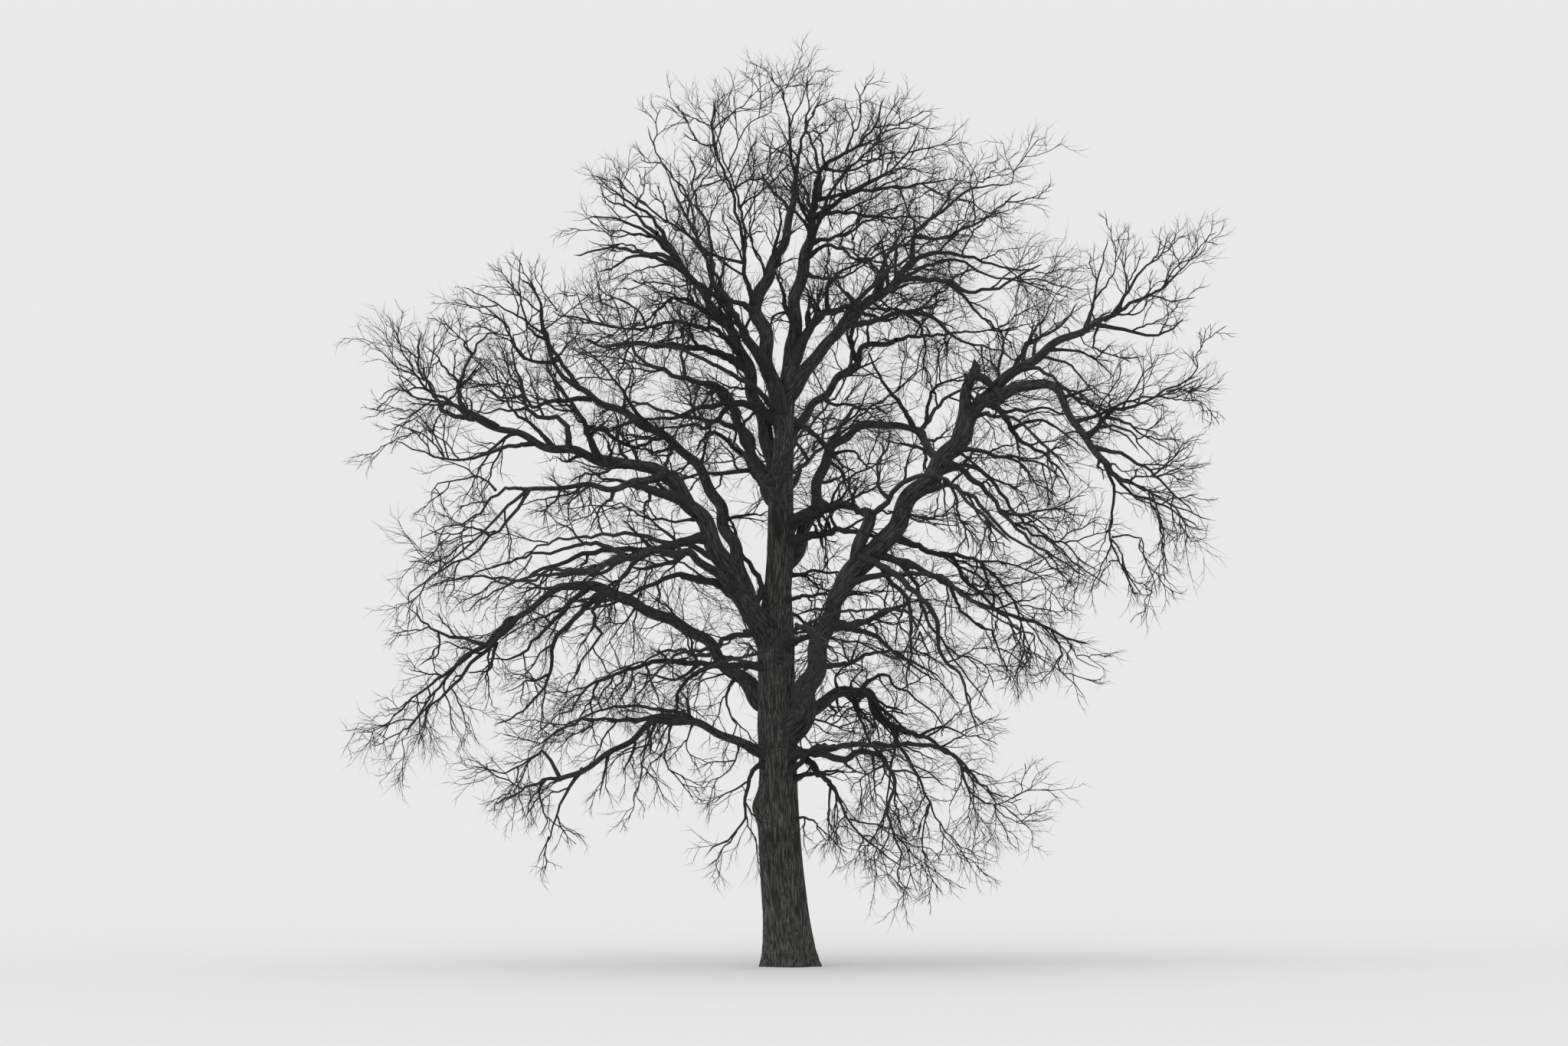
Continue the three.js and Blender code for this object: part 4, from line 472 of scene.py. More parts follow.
branchSpec["low_right"] = {
    "right_fork_mid": ("right_high_bough", 0.16, 0.04, -0.4, 1.3,
        "2.2 -1.9 9.4, 3.1 -1.2 9.1, 3.7 -.8 8.7, 4.5 -.4 7.8, 5.2 -.2 7.2"),
    "right_fork_level": ("right_big_bough", 0.18, 0.04, -0.3, 0.5,
        "1.7 -2.1 9, 2.9 -2 8.6, 3.8 -1.8 8.1, 5.4 -2 7.5, 6.6 -2.2 7"),
    "right_fork_drop": ("right_big_bough", 0.13, 0.03, -0.9, 0.3,
        "1.6 -2 9, 2.2 -2.3 8.5, 2.5 -2.4 8.1, 2.65 -2.5 7.6, 2.72 -2.6 7.2, 2.64 -2.6 6.9, 2.6 -2.7 6.6, "
        "2.64 -2.7 6.3, 2.55 -2.8 5.9"),
    "right_fork_front": ("right_big_bough", 0.16, 0.03, -0.7, 0.4,
        "1.5 -1.9 8.95, 2.1 -2.6 8.7, 2.75 -3.2 8.3, 3 -3.5 8, 3.12 -3.6 7.7, 3.18 -3.7 7.3, 3.2 -3.8 6.96, "
        "3.46 -4 6.68, 3.62 -4.2 6.5, 3.72 -4.3 6.17, 3.9 -4.5 5.8, 4.02 -4.6 5.44, 4.07 -4.7 5.1"),
    "big_bough_low": ("right_big_bough", 0.16, 0.03, -0.4, 0.17,
        ".8 -1 7.45, 1.3 -1.4 7.38, 1.75 -1.7 7.33, 1.97 -1.9 7.13, 2.2 -2 6.9, 2.5 -2.2 6.72, "
        "3.05 -2.5 6.5, 3.4 -2.7 6.1"),
    "big_bough_up": ("right_big_bough", 0.11, 0.03, 0.3, 1.6,
        "1 -1.1 7.4, 1.8 -.6 7.5, 2.4 -.3 7.9, 3.2 .1 8"),
    "big_bough_back": ("right_big_bough", 0.14, 0.035, -0.5, 0.4,
        ".55 -.7 6.5, .85 -.2 6.55, 1.2 .4 6.6, 1.46 .8 6.65, 1.97 1.6 6.82, 2.25 2 6.86, 2.45 2.3 6.74, "
        "2.75 2.7 6.5, 3.3 3.2 6.2"),
    "low_right_curl": ("low_right_bough", 0.08, 0.02, -0.8, 1,
        "2.4 2.1 5.1, 2.2 1.6 4.3, 2.1 1.2 3.3, 2 1 2.6"),
    "low_right_level": ("trunk", 0.16, 0.035, -0.5, 0.8,
        "0 0 4.55, .45 -.2 4.63, 1 -.4 4.67, 1.24 -.5 4.78, 1.57 -.6 4.8, 2 -.7 4.78, 2.42 -.8 4.8, "
        "3.1 -.9 4.79, 3.37 -1 4.75, 3.66 -1 4.58, 3.77 -1.1 4.38, 3.78 -1.1 4.19, 3.88 -1.2 3.96, "
        "4.08 -1.2 3.74, 4.33 -1.3 3.54, 4.53 -1.3 3.48"),
    "lowest_right_fork": ("lowest_right_twigs", 0.11, 0.02, -0.8, 1,
        "1.33 -1.2 3.2, 1.57 -1.1 3.17, 1.75 -1 3.03, 2.05 -.9 3.04, 2.22 -.8 2.98, 2.4 -.7 2.7, "
        "2.5 -.6 2.5, 2.6 -.6 2.2, 2.64 -.5 2, 2.7 -.5 1.77, 2.83 -.5 1.51"),
    "lowest_right_hang": ("lowest_right_twigs", 0.06, 0.02, -1, 1, ".9 -.8 4, .8 -.8 3.2, .9 -.7 2.6"),
    "low_arch_back": ("low_right_bough", 0.12, 0.03, -0.7, 0.5,
        "1.6 1.2 6, 1.5 2.6 5.6, 1.9 3.9 4.6, 2.4 4.9 3.6"),
    "mid_limb_out": ("right_high_bough", 0.17, 0.03, -0.3, 0.6,
        "3.3 -1.5 11, 3.55 -2 10.95, 3.8 -2.3 10.85, 4 -2.5 10.57, 4.22 -2.7 10.43, 4.42 -2.9 10.25, "
        "4.64 -3 9.9, 4.92 -3.2 9.7, 5.2 -3.4 9.39, 5.5 -3.6 9.08, 5.85 -3.8 8.94, 6.2 -4 8.76, "
        "6.55 -4.2 8.5"),
    "mid_limb_level": ("mid_limb_out", 0.08, 0.02, 0, 1,
        "4.66 -3 9.9, 5.2 -3.4 9.81, 5.5 -3.6 9.93, 5.75 -3.8 10, 6.4 -4 10"),
    "mid_limb_fork": ("mid_limb_out", 0.12, 0.025, -0.3, 1,
        "4.95 -3.2 9.7, 5.16 -2.8 9.53, 5.33 -2.5 9.44, 5.7 -2.1 9.28, 5.9 -1.9 9.25, 6.07 -1.8 9.13, "
        "6.23 -1.7 8.99, 6.46 -1.5 8.83, 6.8 -1.3 8.49"),
    "mid_limb_thread": ("mid_limb_level", 0.06, 0.015, -0.5, 1,
        "5.25 -3.4 9.8, 5.61 -3.1 9.7, 5.81 -2.9 9.47, 6 -2.8 9.3"),
    "trunk_right_thread": ("trunk", 0.1, 0.05, 0, 1,
        "0 -.1 7.95, .25 -.4 8.08, .48 -.6 8.14, .73 -.8 8.17, 1 -1 8.14, 1.7 -1.6 8.1"),
    "trunk_right_low": ("trunk", 0.1, 0.045, 0, 1, "0 -.1 8.6, .6 .5 8.57, 1.35 1.1 8.55"),
    "big_bough_level": ("right_big_bough", 0.06, 0.02, 0.1, 1,
        "1.2 -1.5 8.15, 1.8 -1.2 8.15, 2.05 -1.1 8.07, 2.4 -1 8.15"),
    "big_bough_arch": ("right_big_bough", 0.17, 0.05, -0.2, 0.6,
        ".9 -1.2 7.5, 1.27 -1.6 7.5, 1.6 -2 7.47, 1.83 -2.3 7.55, 2.08 -2.5 7.69, 2.25 -2.7 7.81, "
        "2.45 -2.9 7.82, 2.58 -3 7.66, 2.68 -3.1 7.45, 2.85 -3.2 7.28"),
    "big_arch_fall": ("big_bough_arch", 0.08, 0.02, -0.7, 0.4,
        "2.83 -3.2 7.28, 3 -3.3 7.1, 3.04 -3.3 6.5, 3.09 -3.4 6.32, 3.23 -3.5 6.15, 3.46 -3.6 5.98, "
        "3.6 -3.7 5.7"),
    "big_arch_hook": ("big_bough_arch", 0.06, 0.02, -0.8, 0.7,
        "2.83 -3.2 7.25, 2.84 -3 7.1, 2.7 -2.8 7.02, 2.62 -2.7 6.9, 2.64 -2.6 6.6, 2.6 -2.5 6.2"),
    "low_back_reach": ("right_low_back_twigs", 0.08, 0.02, -0.4, 1,
        "3.35 -.3 6.85, 3.63 -.5 6.75, 3.85 -.7 6.68, 4.02 -.8 6.65, 4.19 -.9 6.57, 4.3 -1 6.43, "
        "4.39 -1 6.2, 4.47 -1.1 6"),
    "low_right_arch": ("low_right_bough", 0.1, 0.03, -0.2, 0.6,
        "1.4 1.25 6.02, 1.65 1 6.13, 1.85 .85 6.27, 2.03 .75 6.36, 2.17 .7 6.28, 2.32 .6 6.08, "
        "2.6 .45 5.92, 3.04 .2 5.62, 3.25 .1 5.4, 3.4 0 5.15"),
    "low_out_arc": ("low_right_out_twigs", 0.07, 0.02, -0.2, 1,
        "2.9 2.6 5.05, 3.15 2.4 5.25, 3.37 2.2 5.27, 3.54 2.1 5.22, 3.68 2 5.08, 3.85 1.9 4.97, "
        "4.16 1.8 4.94, 4.3 1.7 5.05"),
    "fork_level_fall": ("right_fork_level", 0.08, 0.02, -0.5, 0.7,
        "3.45 -1.9 8.15, 3.68 -1.6 7.78, 3.82 -1.5 7.64, 4.02 -1.4 7.62, 4.25 -1.3 7.47, 4.39 -1.2 7.3, "
        "4.5 -1.1 7.1, 4.58 -1.1 6.85, 4.58 -1 6.6, 4.67 -1 6.54, 4.79 -.9 6.43, 4.95 -.9 6.26"),
    "low_front_arch": ("trunk", 0.2, 0.04, -0.5, 1,
        "0 -.1 4.5, .3 -.6 4.56, .8 -1 4.57, 1.12 -1.2 4.55, 1.32 -1.35 4.67, 1.6 -1.6 4.69, 1.8 -1.8 4.62, "
        "2 -2 4.43, 2.18 -2.1 4.15, 2.3 -2.2 3.8, 2.25 -2.3 3.5, 2.15 -2.4 3.05, 2.25 -2.5 2.7, "
        "2.5 -2.6 2.35"),
    "low_level_end": ("low_right_level", 0.06, 0.015, 0.3, 1,
        "4.45 -1.3 3.5, 4.73 -1.5 3.53, 4.95 -1.6 3.64, 5.18 -1.7 3.74, 5.38 -1.8 3.81"),
    "low_level_fall": ("low_right_level", 0.06, 0.015, -0.4, 1,
        "4.45 -1.3 3.5, 4.57 -1.2 3.34, 4.79 -1.1 3.25, 5.01 -1 3.14, 5.25 -1 3.08"),
    "low_drop_hook": ("low_right_drop_twigs", 0.06, 0.015, -0.6, 1,
        "3.22 2.2 3.1, 3.26 2.1 2.92, 3.43 2 2.87, 3.52 1.9 2.64, 3.66 1.8 2.42, 3.69 1.8 2.19, "
        "3.66 1.7 1.99"),
    "low_drop_level": ("low_right_drop_twigs", 0.06, 0.015, -0.2, 1,
        "3.5 2.25 2.8, 3.57 2.3 2.64, 3.8 2.4 2.47, 4.08 2.5 2.44, 4.5 2.6 2.33"),
    "low_drop_straight": ("low_right_drop_twigs", 0.09, 0.02, -0.9, 1,
        "2.96 2.1 3.5, 2.87 1.9 3.12, 2.87 1.8 2.92, 2.95 1.7 2.64, 2.98 1.6 2.33, 2.98 1.6 2.16, "
        "3.09 1.5 1.91, 3.23 1.5 1.68, 3.35 1.5 1.48"),
    "lowest_right_root": ("low_front_arch", 0.15, 0.11, -0.5, 1.5,
        ".22 -.5 4.53, .5 -.6 4.36, .67 -.7 4.16, .95 -.85 3.9"),
    "lowest_hook": ("lowest_right_twigs", 0.06, 0.015, -0.3, 1,
        "1.6 -1.4 2.78, 1.69 -1.6 2.84, 1.83 -1.7 2.81, 1.97 -1.8 2.67, 2.22 -1.9 2.6"),
    "lowest_end_fall": ("lowest_right_twigs", 0.06, 0.015, -0.9, 1,
        "1.95 -1.6 2.47, 2.02 -1.6 2.3, 2.1 -1.7 2.1, 2.22 -1.7 1.91, 2.33 -1.8 1.68"),
    "trunk_low_shoot": ("trunk", 0.07, 0.02, -0.3, 1,
        ".05 -.1 3.1, .27 -.3 3.15, .45 -.45 3.23, .56 -.5 3.12, .67 -.6 2.92, .84 -.7 2.7"),
    "trunk_right_arc": ("trunk", 0.08, 0.02, -0.1, 1,
        "0 .1 5.1, .25 .4 5.22, .42 .5 5.33, .65 .7 5.37, .93 .9 5.32, 1.18 1.1 5.22, 1.4 1.3 5.1, "
        "1.66 1.5 5.05"),
    "trunk_right_slant": ("trunk", 0.06, 0.02, -0.4, 1,
        ".05 -.1 5.05, .34 -.5 4.95, .5 -.6 4.78, .7 -.8 4.6"),
    "low_arch_stub": ("low_front_arch", 0.07, 0.02, -0.6, 1,
        "1.15 -1.2 4.55, 1.29 -1.4 4.36, 1.41 -1.5 4.19"),
    "low_arch_left": ("low_front_arch", 0.06, 0.015, -0.4, 0.4,
        "2.05 -2 4.37, 1.86 -1.8 4.26, 1.69 -1.7 4.16, 1.52 -1.6 4.05, 1.41 -1.5 3.9, 1.35 -1.4 3.7"),
    "low_arch_hang": ("low_front_arch", 0.06, 0.015, -0.9, 0.6,
        "1.75 -1.8 4.63, 1.86 -2 4.19, 1.91 -2.1 3.9, 1.88 -2.2 3.62, 2 -2.3 3.34"),
    "big_slant_thread": ("big_bough_back", 0.05, 0.015, 0.3, 0.5,
        "1.3 .6 6.65, 1.4 .4 7, 1.52 .3 7.22, 1.8 .1 7.5, 2.02 0 7.89"),
    "fork_end_fall": ("right_fork_level", 0.07, 0.015, -0.7, 0.6,
        "5.75 -2.05 7.35, 5.85 -1.9 7.13, 5.94 -1.8 6.88, 5.9 -1.7 6.68, 5.91 -1.7 6.49, 6.08 -1.6 6.29, "
        "6.16 -1.6 6.12, 6.25 -1.5 5.95, 6.47 -1.5 5.8"),
    "fork_end_slant": ("right_fork_level", 0.06, 0.015, -0.5, 1,
        "6 -2.1 7.25, 6.14 -2.3 7.14, 6.16 -2.4 7.02, 6.25 -2.5 6.88, 6.39 -2.5 6.71, 6.56 -2.6 6.65, "
        "6.81 -2.7 6.46"),
    "curtain_near": ("right_fork_mid", 0.07, 0.015, -1, 1,
        "5 -.3 7.4, 5.07 -.6 7.25, 5.12 -.7 7.08, 5.18 -.8 6.74, 5.26 -.9 6.37"),
    "curtain_far": ("right_fork_mid", 0.07, 0.015, -1, 1,
        "5.1 -.25 7.3, 5.32 0 7.2, 5.38 .1 7.02, 5.46 .2 6.74, 5.52 .3 6.46, 5.66 .4 6.06"),
    "fork_upper_fall": ("right_fork_mid", 0.13, 0.03, -0.5, 1.5,
        "3.25 -1.1 9.02, 3.55 -1.3 8.98, 3.85 -1.5 8.83, 4.15 -1.6 8.8, 4.4 -1.7 8.65, 4.6 -1.8 8.3, "
        "4.75 -1.9 8, 4.95 -2 7.75, 5.05 -2.1 7.45, 5.2 -2.2 7, 5.3 -2.3 6.7"),
    "fork_upper_twin": ("fork_upper_fall", 0.08, 0.025, -0.5, 1,
        "4.25 -1.65 8.75, 4.4 -1.4 8.4, 4.55 -1.2 8.15, 4.65 -1.1 7.85, 4.85 -1 7.6, 4.95 -.9 7.2, "
        "5 -.8 6.8"),
    "fork_upper_reach": ("fork_upper_fall", 0.06, 0.02, -0.3, 2.1,
        "4.15 -1.6 8.8, 4.5 -1.9 8.85, 4.8 -2.1 8.75, 5.1 -2.3 8.6, 5.5 -2.5 8.5, 5.8 -2.7 8.2"),
    "knot_loop": ("low_right_bough", 0.07, 0.02, 0.4, 0.9,
        "1 .8 5.95, 1.05 .6 6.2, 1.1 .4 6.45, 1.3 .3 6.6, 1.5 .2 6.45, 1.7 .1 6.3"),
    "knot_curl": ("low_right_bough", 0.06, 0.02, 0.4, 1,
        "1.25 1 6, 1.35 .7 6.25, 1.5 .5 6.42, 1.72 .4 6.45, 1.65 .3 6.22"),
    "knot_hang_inner": ("low_right_bough", 0.05, 0.015, -0.8, 1,
        "1 .7 5.85, 1.1 .6 5.6, 1.3 .5 5.4, 1.45 .4 5.1"),
    "knot_hang": ("low_right_bough", 0.06, 0.02, -0.8, 1, "1.3 1 5.9, 1.5 .9 5.65, 1.7 .8 5.4, 1.75 .7 5.1"),
    "trunk_right_hook": ("trunk", 0.1, 0.03, -0.3, 1,
        "-.2 .1 7.75, .1 .5 7.7, .25 .7 7.5, .45 .9 7.42, .6 1 7.5, .8 1.2 7.65, .95 1.3 7.85"),
    "trunk_big_link": ("trunk", 0.18, 0.08, 0, 1,
        "-.3 0 6.7, 0 -.3 6.98, .3 -.6 7.15, .6 -.9 7.4, .9 -1.2 7.55"),
}
branchSpec["low_left"] = {
    "low_hanging_left": ("trunk", 0.12, 0.03, -0.9, 1,
        "-.2 0 4.4, -.9 -.5 4.2, -1 -.6 3.5, -1.1 -.7 3, -1.9 -1 2.3"),
    "left_low_level": ("left_low_bough", 0.15, 0.03, -0.3, 1,
        "-2.2 -1.2 5.35, -2.8 -.9 5.4, -3.2 -.7 5.25, -3.6 -.5 5.3, -4.2 -.3 5.5, -4.8 -.1 5.35, -5.1 0 5, "
        "-5.5 .1 4.8"),
    "left_low_loop": ("left_low_bough", 0.1, 0.02, -0.1, 1,
        "-5.1 -2.6 4.1, -5.25 -2.5 4.5, -5.5 -2.4 4.7, -5.75 -2.2 4.5, -6 -2.1 4.35, -6.5 -1.9 4.15, "
        "-6.9 -1.8 4.5"),
    "left_low_drop": ("left_low_bough", 0.11, 0.02, -1, 1,
        "-4.5 -2.4 4.25, -4.7 -2.5 4, -4.95 -2.7 3.7, -5 -2.8 3.3, -5.2 -2.9 2.8, -5.5 -3 2.2"),
    "left_low_hang_near": ("left_low_bough", 0.06, 0.02, -1, 1,
        "-2.6 -1.4 5.4, -2.7 -1.3 4.4, -2.1 -1.2 3.6"),
    "left_low_hang_far": ("left_low_bough", 0.06, 0.02, -1, 1, "-3 -1.6 5.3, -3.2 -2 4.5, -3.4 -2.3 3.5"),
    "left_shoulder_limb": ("trunk", 0.17, 0.04, -0.3, 1.2,
        "-.2 0 6.5, -1.7 -.9 6.6, -2.9 -1.8 6.6, -3.5 -2.3 6.4, -4.5 -3.1 6, -4.8 -3.3 5.5"),
    "left_shoulder_front": ("trunk", 0.15, 0.035, -0.4, 0.1,
        "-.3 0 7.3, -1.3 -1.3 7.1, -1.8 -2.1 6.9, -2.7 -4 6.6, -3.4 -5.4 5.8"),
    "sweep_hang_inner": ("left_sweep_outer", 0.13, 0.03, -0.6, 0.4,
        "-4.4 1.6 8.2, -5 1.2 7.7, -5.4 .9 7.2, -5.9 .7 6.85, -6.2 .5 6.7, -6.8 .4 6.6"),
    "sweep_hang_mid": ("left_sweep_inner", 0.14, 0.03, -0.8, 0.4,
        "-4.2 1.6 8.1, -4.9 1.9 7.4, -5.2 2 6.9, -5.3 2.1 6.4, -5.5 2.2 5.8, -5.9 2.3 5.5, -6.5 2.4 5.2"),
    "sweep_low_fork": ("left_sweep_outer", 0.16, 0.04, -0.6, 1,
        "-5.9 1.8 7.5, -6.4 1.4 7, -7 1 6.55, -7.5 .7 6.1, -7.8 .5 5.7, -8.4 .3 5.1"),
    "sweep_end_fork": ("left_sweep_outer", 0.14, 0.03, -0.7, 1.4,
        "-7 1.8 6.8, -7.7 1.4 6.3, -8.3 1.2 5.75, -8.75 1 5.3"),
    "sweep_hook": ("left_sweep_outer", 0.13, 0.03, 0.1, 1,
        "-6.7 1.8 7, -7.4 2.2 7.2, -8 2.4 7.5, -8.2 2.6 7.9"),
    "sweep_upper": ("left_sweep_inner", 0.13, 0.03, -0.2, 0.8,
        "-2.8 1.2 7.6, -3.9 2.6 8, -5.1 3.7 7.8, -6.4 4.6 7.1"),
    "sweep_low_loop": ("sweep_low_fork", 0.09, 0.03, -0.3, 1,
        "-6.3 1.4 7.05, -6.45 1.6 6.7, -6.65 1.8 6.4, -7.1 1.9 6.4"),
    "hook_drop": ("sweep_hook", 0.07, 0.02, -0.5, 1.5,
        "-7.7 2.3 7.25, -7.65 2.2 6.9, -7.8 2.1 6.7, -8.1 2 6.55"),
    "sweep_hang_side": ("sweep_hang_mid", 0.08, 0.02, -0.5, 1,
        "-5.3 2.1 6.35, -5.7 2.4 6.25, -5.9 2.6 6.05, -6.3 2.8 5.9"),
    "sweep_curl": ("left_sweep_inner", 0.1, 0.03, -0.5, 0.8,
        "-4.1 1.5 8, -4.4 1.2 7.6, -4.2 1 7.4, -4.15 .9 7.1, -4.4 .8 6.8, -4.7 .7 6.5, -4.75 .6 6.1"),
    "sweep_thread": ("left_sweep_inner", 0.05, 0.015, -0.7, 1,
        "-3.4 1.3 7.8, -3.7 1.1 7.5, -3.9 .9 7, -4.2 .8 6.6"),
    "shoulder_under": ("left_sweep_inner", 0.13, 0.03, -0.4, 1.5,
        "-1.5 .6 6.6, -2 .2 6.4, -2.4 -.1 6.1, -2.4 -.3 5.8, -2.6 -.5 5.55, -3 -.8 5.4"),
    "shoulder_mid": ("left_shoulder_limb", 0.08, 0.02, -0.5, 1,
        "-2 -1.1 6.5, -2.5 -1.4 6.3, -2.9 -1.7 6.35, -3.3 -2 6.3, -3.6 -2.2 5.8"),
    "shoulder_drop": ("left_shoulder_limb", 0.1, 0.025, -0.8, 1,
        "-4.2 -2.8 6, -4.35 -2.6 5.7, -4.3 -2.5 5.4, -4.6 -2.4 5"),
    "left_low_drop_outer": ("left_low_out_twigs", 0.08, 0.02, -1, 1,
        "-5.4 -2.8 4, -5.4 -3 3.6, -5.3 -3.1 3.2, -5.5 -3.2 2.8"),
    "low_hang_thin": ("left_low_bough", 0.045, 0.015, -1, 1,
        "-2.1 -1.1 5.3, -2.2 -1.3 4.9, -2.15 -1.4 4.5, -1.9 -1.5 4.2"),
    "low_hanging_outer": ("left_low_bough", 0.05, 0.015, -0.9, 1,
        "-1.1 -.5 4.9, -1.2 -.7 4.6, -1.4 -.9 4.2, -1.7 -1 4, -1.9 -1.1 3.7"),
    "shoulder_thin_drop": ("left_sweep_inner", 0.08, 0.02, -0.6, 1,
        "-1.2 .4 6.3, -1.4 .2 5.9, -1.3 0 5.5, -1.1 -.1 5.2, -1.4 -.2 4.8"),
}
